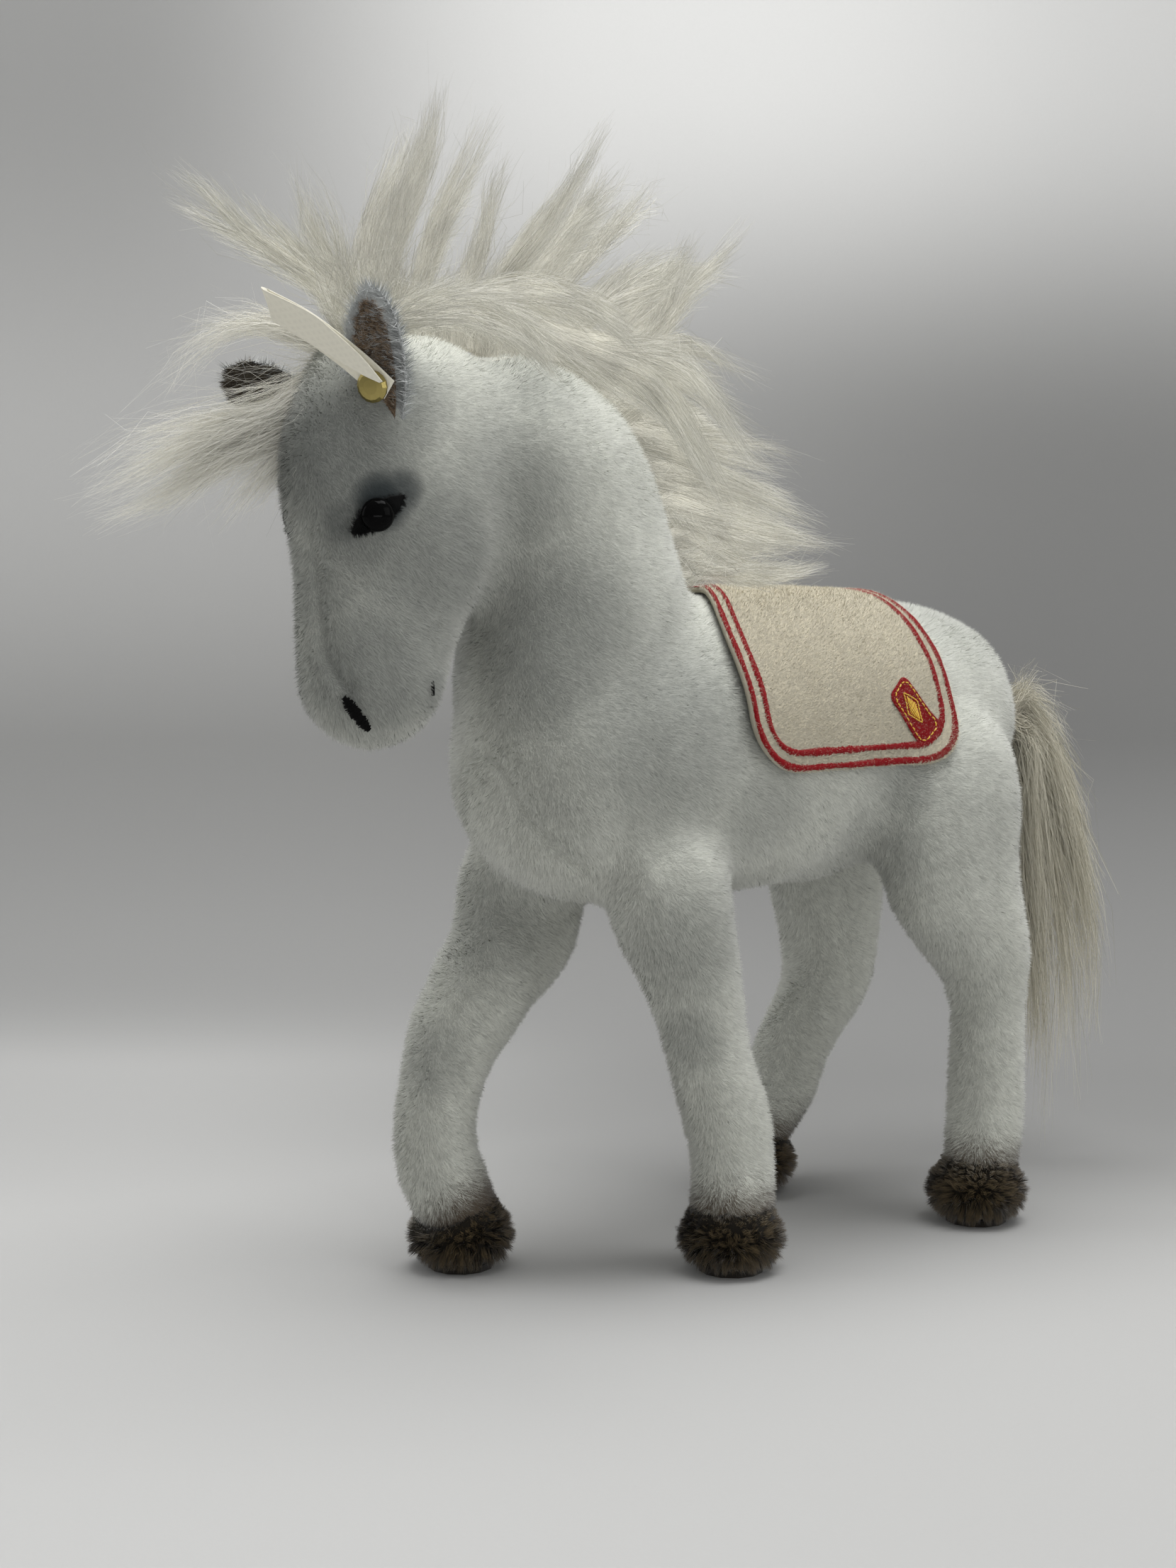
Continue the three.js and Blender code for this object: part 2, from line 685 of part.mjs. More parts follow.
// Ear rivet: a domed cap and stem through tag and left ear, with a washer behind the ear. Heights are
// measured along the rivet from the ear's inner face.
const [leftEar, rightEar] = bothSides.map(([side, , turnTo]) => earFrame(side, turnTo));
const rivetUpEarShare = 0.29;
const rivetCup = earCup * (1 - rivetUpEarShare / 2);
const rivetAxis = leftEar.out;
const rivetPlace = leftEar.root.clone()
  .addScaledVector(leftEar.along, rivetUpEarShare * earLength)
  .addScaledVector(rivetAxis, -rivetCup);
const tagLift = rivetCup + softGap;
const capLift = tagLift + tagThickness + seamGap;
const washerLift = -earPileThickness - seamGap - rivetBackThickness;
const rivetHole = rod(rivetStemWidth + 2 * seamGap, washerLift - seamGap, capLift, rivetPlace, rivetAxis);
const capShares = [[1, 0], [1, 0.35], [0.8, 0.75], [0.45, 0.95], [0, 1]];
addPiece("ear_rivet", turned([
  [0, washerLift - seamGap],
  [rivetStemWidth / 2, washerLift - seamGap],
  [rivetStemWidth / 2, capLift],
  ...capShares.map(([radius, height]) => [(radius * rivetWidth) / 2, capLift + height * rivetDome]),
], rivetPlace, rivetAxis), brass());
addPiece("ear_rivet_washer", rod(rivetBackWidth, washerLift, washerLift + rivetBackThickness, rivetPlace,
  rivetAxis).subtract(rivetHole), brass());

// Behind the ear the rivet presses a dimple into the head
const rivetHollow = rod(rivetBackWidth + 2 * seamGap, washerLift - 2 * seamGap, capLift, rivetPlace, rivetAxis);

for (const [name, frame, holes] of [["left_ear", leftEar, [rivetHole]], ["right_ear", rightEar, []]]) {
  addPiece(name, cutBy(earLeaf(frame, 0, -earPileThickness, earPileThickness), headSkin, neckSkin, ...holes),
    greyPlush());
  addPiece(`${name}_lining`, cutBy(earLeaf(frame, earLiningInset, seamGap, earLiningThickness), headSkin, neckSkin,
    ...holes), brownPlush());
}

// Tag: a woven strip folded double at its free end. The layer at the ear is riveted, and the outer layer,
// cut to a point, lies over part of the cap.
const tagTurnShare = 0.1;
const tagTurn = tagTurnShare * 2 * Math.PI;
const tagDirection = leftEar.across.clone().multiplyScalar(-Math.cos(tagTurn))
  .addScaledVector(leftEar.along, Math.sin(tagTurn));
const tagAcross = new THREE.Vector3().crossVectors(rivetAxis, tagDirection);
const tagEnd = tagLength - tagTail;
const tagTop = -tagWidth / 2 - tagOffset;
const tagBottom = tagWidth / 2 - tagOffset;
const tagOuterLift = capLift + rivetDome + seamGap;

// A flat layer of the tag: its outline as distances along and across the strip from the rivet
function tagLayer(outline, from, thickness) {
  const shape = new THREE.Shape(outline.map(([along, across]) => new THREE.Vector2(along, across)));
  const geometry = new THREE.ExtrudeGeometry(shape, { depth: thickness, bevelEnabled: false });
  geometry.applyMatrix4(new THREE.Matrix4().makeBasis(tagDirection, tagAcross, rivetAxis)
    .setPosition(rivetPlace.clone().addScaledVector(rivetAxis, from)));
  return solidOf(geometry);
}
const tagBack = tagLayer([[-tagTail, tagTop], [tagEnd, tagTop], [tagEnd, tagBottom], [-tagTail, tagBottom]],
  tagLift, tagThickness);
const tagFront = tagLayer([[rivetWidth, tagTop], [tagEnd, tagTop], [tagEnd, tagBottom],
  [rivetWidth, tagBottom / 2], [-tagTail, tagTop / 5]], tagOuterLift, tagThickness);
const tagBend = tagLayer([[tagEnd - tagThickness, tagTop], [tagEnd, tagTop], [tagEnd, tagBottom],
  [tagEnd - tagThickness, tagBottom]], tagLift, tagOuterLift + tagThickness - tagLift);
addPiece("ear_tag", joined([tagBack, tagFront, tagBend]).subtract(rivetHole), creamFelt());

// Torso, neck and head, each cut by the larger form that it is sewn to
addPiece("torso", cutBy(torsoForm.solid(), ...Object.values(channels)), whitePlush());
addPiece("neck", cutBy(neckForm.solid(), torsoSkin, channels.back_wire), whitePlush());
addPiece("head", cutBy(headForm.solid(), neckSkin, channels.back_wire, ...eyeHollows, rivetHollow), whitePlush());

// The outer skin of the sewn body, met along a line from outside towards a place within it. The line runs a
// hair beside the middle, where it would lie in the edges of the skin's faces.
const hairShare = 0.01;
const coat = [torsoForm, neckForm, headForm, ...legs.map((leg) => leg.form)]
  .map((form) => new THREE.Mesh(form.geometry()));
function skinFrom(place, outward, cover = coat) {
  const start = place.clone().addScaledVector(outward, bodyLength).addScaledVector(left, seamGap * hairShare);
  return new THREE.Raycaster(start, outward.clone().negate()).intersectObjects(cover, false)[0].point;
}

// Saddle cloth: one sheet of felt over the back, notched where the neck rises, with rounded lower corners.
// A place on it is a share of the drop to the left and a share of its length from the front.
const clothRadius = (barrelDepth + barrelWidth) / 4;
const clothFront = chestFront + bodyLength * 0.325;
const clothNotchShare = 0.6;

function clothPlace(aside, back, lift, cover = coat) {
  const swing = (aside * clothDrop) / clothRadius;
  const outward = new THREE.Vector3(Math.sin(swing), 0, Math.cos(swing));
  const notch = clothNotch * Math.max(0, 1 - Math.abs(aside) / clothNotchShare) ** 2 * (1 - back);
  const place = new THREE.Vector3(0, clothFront + notch + back * clothLength, barrelAxis);
  return { point: skinFrom(place, outward, cover).addScaledVector(outward, lift), outward };
}

// Half the cloth's length as a share, drawn in by the round corners, at a share of the drop
function clothReach(aside) {
  const beyond = Math.max(0, Math.abs(aside) * clothDrop - (clothDrop - clothCorner)) / clothCorner;
  return (clothLength / 2 - clothCorner * (1 - Math.sqrt(1 - beyond * beyond))) / clothLength;
}
const clothEndShare = 0.985;
const clothEaseShare = 0.25;
const clothSheet = (from, to, spare = 0) => sheetSolid((u, v, face) => {
  const eased = Math.sin((u - 0.5) * Math.PI) * clothEaseShare + (2 * u - 1) * (1 - clothEaseShare);
  const back = 0.5 + (2 * v - 1) * (clothReach(eased * clothEndShare) + spare / clothLength);
  return clothPlace(eased, back, from + face * (to - from)).point;
}, 20, 7);
const cloth = clothSheet(softGap, softGap + clothThickness);
const clothRoom = clothSheet(0, softGap + clothThickness + seamGap);
const legSkins = legs.map((leg) => leg.form.solid(seamGap));
addPiece("saddle_cloth", cutBy(cloth, torsoSkin, ...legSkins), creamFelt());
const clothCover = [new THREE.Mesh(geometryOf(cloth))];
const trimLift = 2 * seamGap;
const maneRoom = clothSheet(0, softGap + clothThickness + trimLift + borderHeight + seamGap, seamGap);

// Borders: two lines of satin stitch that follow the cloth's edge. The line runs over the back along the
// rear edge, down round a corner, forward along the lower edge, and so on round.
function borderLoop(inset, lift) {
  const corner = clothCorner - inset;
  const straightDrop = clothDrop - inset - corner;
  const straightLength = clothLength / 2 - inset - corner;
  const overSteps = 16;
  const cornerSteps = 3;
  const lowerSteps = 6;
  const quarter = [];
  for (let i = 1; i < overSteps / 2; i += 1) {
    quarter.push([(straightDrop * i * 2) / overSteps, straightLength + corner]);
  }
  for (let i = 0; i <= cornerSteps; i += 1) {
    const angle = ((Math.PI / 2) * i) / cornerSteps;
    quarter.push([straightDrop + corner * Math.sin(angle), straightLength + corner * Math.cos(angle)]);
  }
  for (let i = 1; i < lowerSteps / 2; i += 1) {
    quarter.push([straightDrop + corner, straightLength * (1 - (2 * i) / lowerSteps)]);
  }
  const [first] = quarter;
  const rearTop = [0, first[1]];
  const lower = [straightDrop + corner, 0];
  const swap = (places, sideways, lengthways) => places.map(([aside, back]) => [sideways * aside, lengthways * back]);
  const places = [
    rearTop, ...quarter, lower, ...swap(quarter.toReversed(), 1, -1),
    ...swap([rearTop], 1, -1), ...swap(quarter, -1, -1), ...swap([lower], -1, 1),
    ...swap(quarter.toReversed(), -1, 1),
  ];
  return places.map(([aside, back]) =>
    clothPlace(aside / clothDrop, 0.5 + back / clothLength, lift, clothCover));
}
for (const [name, inset] of [["outer_border", outerBorderInset], ["inner_border", innerBorderInset]]) {
  addPiece(name, cutBy(loopRibbon(borderLoop(inset, trimLift), borderWidth, borderHeight), clothRoom, ...legSkins),
    redThread());
}

// Patch: a small red felt oblong near the rear lower corner of the left side, with a stitched line round it
const patchShares = { aside: 0.74, back: 0.775, turn: 0.62 };
function onPatch(along, across, lift) {
  const drop = along * Math.cos(patchShares.turn) + across * Math.sin(patchShares.turn);
  const back = along * Math.sin(patchShares.turn) - across * Math.cos(patchShares.turn);
  return clothPlace(patchShares.aside + drop / clothDrop, patchShares.back + back / clothLength, lift, clothCover);
}
const patchSheet = (from, to) => sheetSolid((u, v, face) => onPatch((u - 0.5) * patchLength, (v - 0.5) * patchWidth,
  to + face * (from - to)).point, 5, 3);
const borderRoom = loopRibbon(borderLoop(innerBorderInset, 0), borderWidth + 2 * seamGap,
  trimLift + borderHeight + 2 * seamGap);
addPiece("patch", cutBy(patchSheet(trimLift, trimLift + patchThickness), clothRoom, borderRoom), redThread());
const patchCornerShares = [[-1, -1], [1, -1], [1, 1], [-1, 1]];
const patchStitchSteps = 5;
const patchStitchLift = patchThickness + trimLift + 2 * seamGap;
const patchStitch = patchCornerShares.flatMap(([along, across], k) => {
  const [nextAlong, nextAcross] = patchCornerShares[(k + 1) % patchCornerShares.length];
  return Array.from({ length: patchStitchSteps }, (_, i) => {
    const share = i / patchStitchSteps;
    return onPatch((along + (nextAlong - along) * share) * (patchLength / 2 - patchStitchInset),
      (across + (nextAcross - across) * share) * (patchWidth / 2 - patchStitchInset), patchStitchLift);
  });
});
addPiece("patch_stitch", loopRibbon(patchStitch, patchStitchWidth, patchStitchHeight)
  .subtract(patchSheet(0, trimLift + patchThickness + seamGap)).subtract(borderRoom), goldThread());

// Crest: places on the skin from between the ears to the withers, met from a line inside head and neck
const crestFront = headForm.spine.getPoint(0.2);
const crestRear = neckForm.spine.getPoint(0.36);
const crestLeanShares = [-0.8, 1.3];
function crestPlace(share, lift, aside = 0) {
  const lean = crestLeanShares[0] + (crestLeanShares[1] - crestLeanShares[0]) * share;
  const outward = new THREE.Vector3(0, Math.sin(lean), Math.cos(lean));
  const place = crestFront.clone().lerp(crestRear, share).addScaledVector(left, aside);
  return skinFrom(place, outward).addScaledVector(outward, lift);
}
const crestStrip = (width, from, to) => sheetSolid((u, v, face) => crestPlace(u, to + face * (from - to),
  (v - 0.5) * width), 18, 2);
addPiece("mane_tape", cutBy(crestStrip(maneTapeWidth, softGap, softGap + maneTapeThickness), headSkin, neckSkin,
  torsoSkin, maneRoom), wovenTape());
const tapeRoom = crestStrip(maneTapeWidth + 2 * seamGap, 0, softGap + maneTapeThickness + seamGap);

// Hair: tapered locks that grow from a rooted ridge. Each place along a lock is where it lies, and its width
// rises and then runs out to a point.
const lockTaperShares = [0.8, 1, 0.86, 0.56, 0.16];
const lockFlatShare = 0.6;
function lockForm(places, width, flatShare = lockFlatShare) {
  const curve = new THREE.CatmullRomCurve3(places);
  const steps = lockTaperShares.length - 1;
  return new RoundForm({
    places: lockTaperShares.map((_, i) => curve.getPoint(i / steps)),
    halfWidths: lockTaperShares.map((share) => (share * width * flatShare) / 2),
    halfDepths: lockTaperShares.map((share) => (share * width) / 2),
    rings: 4,
    sides: 5,
    startDome: 0.06,
    endDome: 0.08,
    domeRings: 1,
  });
}

function ridgeForm(places, width) {
  return new RoundForm({
    places,
    halfWidths: places.map(() => width / 2),
    halfDepths: places.map(() => width / 2),
    rings: 4,
    sides: 6,
    startDome: 0.1,
    endDome: 0.1,
    domeRings: 1,
  });
}

// Places along a lock: a root, then shares of a length to the left, rear and top of it
const lockPlaces = (root, shares, length) =>
  shares.map((share) => root.clone().add(new THREE.Vector3(...share).multiplyScalar(length)));

const ridgeLift = softGap + maneTapeThickness + seamGap + maneRidgeWidth / 2;

// A stretch of the mane from one share of the crest to another. Each lock is its root's share of the crest,
// its width in lock widths, and its places from the root.
function maneStretch(from, to, locks) {
  const steps = 4;
  const ridge = ridgeForm(Array.from({ length: steps + 1 }, (_, i) =>
    crestPlace(from + (to - from) * (i / steps), ridgeLift)), maneRidgeWidth);
  return joined([ridge, ...locks.map(({ root, width, shares }) => lockForm(
    lockPlaces(crestPlace(root, ridgeLift), [[0, 0, 0], ...shares], maneLength), width * maneLockWidth))]
    .map((form) => form.solid()));
}

const pollLockShares = [
  { root: 0.20, width: 0.9, shares: [[-0.04, -0.20, 0.14], [-0.08, -0.50, 0.30], [-0.10, -0.80, 0.42]] },
  { root: 0.22, width: 0.9, shares: [[0, -0.14, 0.18], [0, -0.28, 0.38], [0, -0.40, 0.56]] },
  { root: 0.24, width: 1.1, shares: [[0, -0.06, 0.26], [0, 0.02, 0.55], [0, 0.14, 0.80]] },
  { root: 0.26, width: 1.1, shares: [[-0.05, 0.02, 0.26], [-0.05, 0.12, 0.55], [-0.05, 0.30, 0.80]] },
  { root: 0.28, width: 1.0, shares: [[0, 0.06, 0.2], [0, 0.15, 0.4], [0, 0.30, 0.62]] },
  { root: 0.24, width: 1.3, shares: [[0.16, -0.04, 0.02], [0.22, 0.16, 0.1], [0.24, 0.42, 0.08],
    [0.26, 0.6, -0.08]] },
];
const crestLockShares = [
  { root: 0.42, width: 1.2, shares: [[0, 0.06, 0.24], [0, 0.18, 0.50], [0, 0.34, 0.72]] },
  { root: 0.48, width: 1.2, shares: [[0.04, 0.12, 0.22], [0.04, 0.28, 0.48], [0.04, 0.50, 0.72]] },
  { root: 0.53, width: 1.3, shares: [[-0.05, 0.20, 0.18], [-0.05, 0.44, 0.38], [-0.05, 0.84, 0.56]] },
  { root: 0.57, width: 1.3, shares: [[0.1, 0.22, 0.12], [0.12, 0.48, 0.2], [0.12, 0.8, 0.14]] },
  { root: 0.61, width: 1.2, shares: [[0, 0.26, 0.12], [0, 0.60, 0.14], [0, 1.1, 0.02]] },
  { root: 0.50, width: 1.5, shares: [[0.18, 0.14, 0.1], [0.24, 0.4, 0.08], [0.26, 0.62, -0.12],
    [0.26, 0.72, -0.36]] },
];
const withersLockShares = [
  { root: 0.70, width: 1.3, shares: [[0.1, 0.24, 0.1], [0.14, 0.52, 0.06], [0.15, 0.84, -0.08]] },
  { root: 0.78, width: 1.2, shares: [[-0.06, 0.24, 0.1], [-0.1, 0.5, 0.12], [-0.1, 0.8, 0.02]] },
  { root: 0.84, width: 1.3, shares: [[0.12, 0.22, 0.08], [0.16, 0.46, 0.08], [0.16, 0.76, 0.02]] },
  { root: 0.92, width: 1.2, shares: [[-0.06, 0.2, 0.1], [-0.1, 0.42, 0.1], [-0.1, 0.66, 0.06]] },
  { root: 0.98, width: 0.9, shares: [[0.08, 0.2, 0.14], [0.12, 0.4, 0.17], [0.14, 0.6, 0.16]] },
];
addPiece("mane_poll_locks", cutBy(maneStretch(0.19, 0.32, pollLockShares), headSkin, neckSkin, tapeRoom),
  creamPile());
addPiece("mane_crest_locks", cutBy(maneStretch(0.36, 0.64, crestLockShares), headSkin, neckSkin, tapeRoom),
  creamPile());
addPiece("mane_withers_locks", cutBy(maneStretch(0.68, 1, withersLockShares), neckSkin, torsoSkin, tapeRoom,
  maneRoom), creamPile());

// Forelock: three locks blown forward over the forehead and past the right ear
const forelockRootShare = 0.08;
const forelockShares = [
  [[-0.1, -0.11, -0.05], [-0.2, -0.28, -0.2], [-0.28, -0.52, -0.34], [-0.36, -0.76, -0.52]],
  [[-0.09, -0.11, -0.01], [-0.19, -0.3, -0.11], [-0.28, -0.54, -0.26], [-0.34, -0.7, -0.44]],
  [[-0.09, -0.1, -0.08], [-0.15, -0.22, -0.27], [-0.2, -0.35, -0.44], [-0.26, -0.49, -0.56]],
];
const forelockRoot = crestPlace(forelockRootShare, ridgeLift);
const forelock = forelockShares.map((shares) =>
  lockForm(lockPlaces(forelockRoot, [[0, 0, 0], ...shares], forelockLength), forelockLockWidth).solid());
const rightEarRoom = earLeaf(rightEar, -softGap, -earPileThickness - softGap,
  earPileThickness + earLiningThickness + seamGap + 2 * softGap);
addPiece("forelock", cutBy(joined(forelock), headSkin, neckSkin, rightEarRoom, tapeRoom), creamPile());

// Tail: a plush dock sewn to the rump, and long locks that hang from it down behind the hind legs
const dockShares = [[0, 0.9], [0.5, 1], [1, 0.8]];
const dockRiseShare = 0.07;
const dockStart = new THREE.Vector3(0, chestFront + bodyLength - tailDockLength / 2,
  barrelAxis + barrelDepth * dockRiseShare);
const dockEnd = dockStart.clone().add(new THREE.Vector3(0, tailDockLength, -tailDockLength / 4));
const dockForm = new RoundForm({
  places: dockShares.map(([share]) => dockStart.clone().lerp(dockEnd, share)),
  halfWidths: dockShares.map(([, width]) => (width * tailDockWidth) / 2),
  halfDepths: dockShares.map(([, width]) => (width * tailDockWidth) / 2),
  rings: 2,
  sides: 10,
  startDome: 0.2,
  endDome: 0.2,
  domeRings: 2,
});
addPiece("tail_dock", cutBy(dockForm.solid(), torsoSkin), whitePlush());

// Each tail lock: its offsets to the left and rear in spreads, its length as a share of the tail's, its width
const tailFlatShare = 0.95;
const tailLockShares = [
  [0, 0, 1, 1.2],
  [0.55, 0.3, 0.93, 1],
  [-0.55, 0.3, 0.96, 1],
  [0.1, 0.8, 0.97, 1],
  [0.1, -0.6, 0.84, 1],
];
const tailPathShares = [[0, 0.15, 0], [0, 0.25, -0.09], [0, 0.31, -0.3], [0, 0.37, -0.55], [0, 0.42, -0.78],
  [0, 0.43, -1]];
const tail = tailLockShares.map(([aside, back, length, width]) => {
  const places = tailPathShares.map(([x, y, z], i) => {
    const spread = (tailSpread * i) / (tailPathShares.length - 1);
    return dockStart.clone()
      .add(new THREE.Vector3(x, y, z * length).multiplyScalar(tailLength))
      .add(new THREE.Vector3(aside * spread, back * spread, 0));
  });
  return lockForm([dockStart, ...places], width * tailLockWidth, tailFlatShare).solid();
});
addPiece("tail_hair", cutBy(joined(tail), torsoSkin, dockForm.solid(seamGap), ...legs.map((leg) =>
  leg.form.solid(softGap))), creamPile());

// The origin lies under the middle of the whole toy, on the surface that it stands on
const extent = new THREE.Box3().setFromObject(horse);
horse.position.set(-(extent.min.x + extent.max.x) / 2, -(extent.min.y + extent.max.y) / 2, -extent.min.z);
horse.updateMatrixWorld(true);

export default horse;
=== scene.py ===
import math

import bmesh
import bpy
import numpy as np
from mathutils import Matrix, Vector
from mathutils.bvhtree import BVHTree
from mathutils.kdtree import KDTree


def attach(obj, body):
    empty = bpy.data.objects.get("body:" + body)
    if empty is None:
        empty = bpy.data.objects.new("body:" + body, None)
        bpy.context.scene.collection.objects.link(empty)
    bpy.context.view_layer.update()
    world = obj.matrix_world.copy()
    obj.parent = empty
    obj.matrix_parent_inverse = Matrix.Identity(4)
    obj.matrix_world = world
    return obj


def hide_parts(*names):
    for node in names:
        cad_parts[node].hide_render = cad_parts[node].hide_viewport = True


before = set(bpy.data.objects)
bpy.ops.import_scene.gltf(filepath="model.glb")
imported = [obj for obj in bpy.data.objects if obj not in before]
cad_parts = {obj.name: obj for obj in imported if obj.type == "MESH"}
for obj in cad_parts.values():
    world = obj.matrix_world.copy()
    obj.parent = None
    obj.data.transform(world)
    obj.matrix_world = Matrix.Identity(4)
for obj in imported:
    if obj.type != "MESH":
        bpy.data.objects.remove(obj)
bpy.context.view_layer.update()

# Stuffed coat: white pile plush sewn from panels and packed firm with wadding. Torso, neck, head and legs run
# into each other in soft blends, and a few seams are drawn into the pile. The skin modelled here is the
# plush's backing, a little inside the CAD form, and the pile grows from it.
MM = 0.001
COAT_NODES = ["torso", "neck", "head", "front_left_leg", "front_right_leg", "hind_left_leg", "hind_right_leg"]
PILE_ROOM = 1.5 * MM


def rows_of(items, key, width, kind=np.float32):
    """One property of all the items of a mesh, as rows of numbers."""
    flat = np.empty(len(items) * width, kind)
    items.foreach_get(key, flat)
    return flat.reshape(-1, width)


def points_of(mesh):
    return rows_of(mesh.vertices, "co", 3).astype(float)


def normals_of(mesh):
    return rows_of(mesh.vertex_normals, "vector", 3).astype(float)


def move_points(mesh, points):
    mesh.vertices.foreach_set("co", points.astype(np.float32).ravel())
    mesh.update()


def neighbour_means(values, edges):
    """Each vertex's mean of a value over the vertices it is joined to."""
    count = len(values)
    ends = np.bincount(edges.ravel(), minlength=count)[:, None]
    sums = [np.bincount(edges[:, 0], values[edges[:, 1], k], count)
            + np.bincount(edges[:, 1], values[edges[:, 0], k], count) for k in range(values.shape[1])]
    return np.stack(sums, 1) / np.maximum(ends, 1)


def smoothed(values, edges, rounds, pull=0.5):
    for _ in range(rounds):
        values = values + pull * (neighbour_means(values, edges) - values)
    return values


def add_object(mesh, material, nodes=(), body="horse"):
    """Puts a finished mesh into the scene on its CAD body, with its material."""
    piece = bpy.data.objects.new(mesh.name, mesh)
    bpy.context.scene.collection.objects.link(piece)
    mesh.materials.clear()
    mesh.materials.append(material)
    mesh.polygons.foreach_set("use_smooth", [True] * len(mesh.polygons))
    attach(piece, body)
    if nodes:
        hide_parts(*nodes)
    return piece


def main_shell(mesh):
    """Deletes all but the largest connected shell of a mesh."""
    shape = bmesh.new()
    shape.from_mesh(mesh)
    left = set(shape.verts)
    shells = []
    while left:
        shell, reach = set(), [left.pop()]
        while reach:
            corner = reach.pop()
            shell.add(corner)
            for edge in corner.link_edges:
                other = edge.other_vert(corner)
                if other in left:
                    left.discard(other)
                    reach.append(other)
        shells.append(shell)
    largest = max(shells, key=len)
    bmesh.ops.delete(shape, geom=[v for v in shape.verts if v not in largest], context="VERTS")
    shape.to_mesh(mesh)
    shape.free()
    return mesh


def soft_skin(name, nodes, voxel, swell, rounds, inset):
    """One smooth closed skin over CAD solids. They are grown into each other, remeshed and smoothed, and then
    set back to the depth below the CAD surface at which the pile roots."""
    joined = bmesh.new()
    for node in nodes:
        part = bmesh.new()
        part.from_mesh(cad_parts[node].data)
        bmesh.ops.remove_doubles(part, verts=part.verts, dist=0.01 * MM)
        part.normal_update()
        for corner in part.verts:
            corner.co += corner.normal * swell
        grown = bpy.data.meshes.new(name + "_part")
        part.to_mesh(grown)
        part.free()
        joined.from_mesh(grown)
        bpy.data.meshes.remove(grown)
    rough = bpy.data.meshes.new(name + "_rough")
    joined.to_mesh(rough)
    joined.free()
    holder = bpy.data.objects.new(name + "_rough", rough)
    bpy.context.scene.collection.objects.link(holder)
    remesh = holder.modifiers.new("remesh", "REMESH")
    remesh.mode = "VOXEL"
    remesh.voxel_size = voxel
    mesh = bpy.data.meshes.new_from_object(holder.evaluated_get(bpy.context.evaluated_depsgraph_get()))
    bpy.data.objects.remove(holder)
    bpy.data.meshes.remove(rough)
    mesh.name = name
    main_shell(mesh)
    edges = rows_of(mesh.edges, "vertices", 2, np.int32)
    before = points_of(mesh)
    after = smoothed(before, edges, rounds)
    move_points(mesh, after)
    normals = normals_of(mesh)
    sunk = ((before - after) * normals).sum(1, keepdims=True)
    settle = smoothed(sunk, edges, rounds) - swell - inset
    move_points(mesh, after + normals * settle)
    return mesh


def from_line(points, line):
    """The vectors to points from the nearest place on a line of straight stretches."""
    best = np.full(points.shape, 1e3)
    for start, end in zip(line[:-1], line[1:]):
        along = end - start
        share = np.clip(((points - start) @ along) / (along @ along), 0, 1)
        away = points - start - share[:, None] * along
        nearer = np.linalg.norm(away, axis=1) < np.linalg.norm(best, axis=1)
        best[nearer] = away[nearer]
    return best


DRIFT = np.random.default_rng(5)
DRIFT_COUNT = 10
DRIFT_WAVES = DRIFT.normal(size=(DRIFT_COUNT, 3)) * np.geomspace(60, 420, DRIFT_COUNT)[:, None]
DRIFT_TURNS = DRIFT.normal(size=(DRIFT_COUNT, 3))
DRIFT_STARTS = DRIFT.uniform(0, 2 * math.pi, DRIFT_COUNT)


def drift(points):
    """A smooth uneven direction over space. The skin swells by it and the pile leans by it."""
    return np.sin(points @ DRIFT_WAVES.T + DRIFT_STARTS) @ DRIFT_TURNS / math.sqrt(DRIFT_COUNT)


# Seams that show, in mm on the left side: down the nose to the nostril, and from the chest to the foreleg
SEAMS = {
    "nose": [(5.2, -140.7, 220.3), (6.4, -139.0, 210.0), (6.6, -138.1, 198.8), (7.5, -137.0, 187.6),
             (9.9, -134.3, 181.0), (11.6, -132.1, 177.3)],
    "chest": [(3.1, -81.5, 158.2), (10.2, -80.6, 153.6), (13.2, -79.2, 146.8), (16.8, -75.7, 138.8),
              (20.0, -69.4, 130.7), (20.8, -59.8, 122.9)],
}
SEAM_DEPTH = 3.3 * MM
SEAM_WIDTH = 2.1 * MM
LUMPS_BODY, LUMPS_LEGS = 0.3 * MM, 0.85 * MM
LEGS_BELOW, LEGS_FADE = 150 * MM, 50 * MM

coat_mesh = soft_skin("coat", COAT_NODES, voxel=1.8 * MM, swell=0.5 * MM, rounds=45, inset=PILE_ROOM)
coat_points = points_of(coat_mesh)
seam_lines = [np.array(places) * MM * (side, 1, 1) for places in SEAMS.values() for side in (1, -1)]


def seam_push(points, width):
    """Vectors that point away from the seams near them, longest beside the seam."""
    push = np.zeros(points.shape)
    for line in seam_lines:
        away = from_line(points, line)
        far = np.linalg.norm(away, axis=1, keepdims=True)
        push += away / np.maximum(far, 1e-6) * np.exp(-(far / width) ** 2)
    return push


seam_mask = np.clip(np.linalg.norm(seam_push(coat_points, SEAM_WIDTH), axis=1), 0, 1)
low_down = np.clip((LEGS_BELOW - coat_points[:, 2]) / LEGS_FADE, 0, 1)
lumps = drift(coat_points)[:, 0] * (LUMPS_BODY + (LUMPS_LEGS - LUMPS_BODY) * low_down)
coat_points += normals_of(coat_mesh) * (lumps - seam_mask * SEAM_DEPTH)[:, None]
move_points(coat_mesh, coat_points)


def fill(tree, node, values):
    """Links a node's sockets to those values that are sockets, and sets the others."""
    for socket, value in values.items():
        if isinstance(value, bpy.types.NodeSocket):
            tree.links.new(value, node.inputs[socket])
        else:
            node.inputs[socket].default_value = value
    return node


def add_node(tree, kind, values=None, **settings):
    node = tree.nodes.new("ShaderNode" + kind)
    for key, value in settings.items():
        setattr(node, key, value)
    return fill(tree, node, values or {})


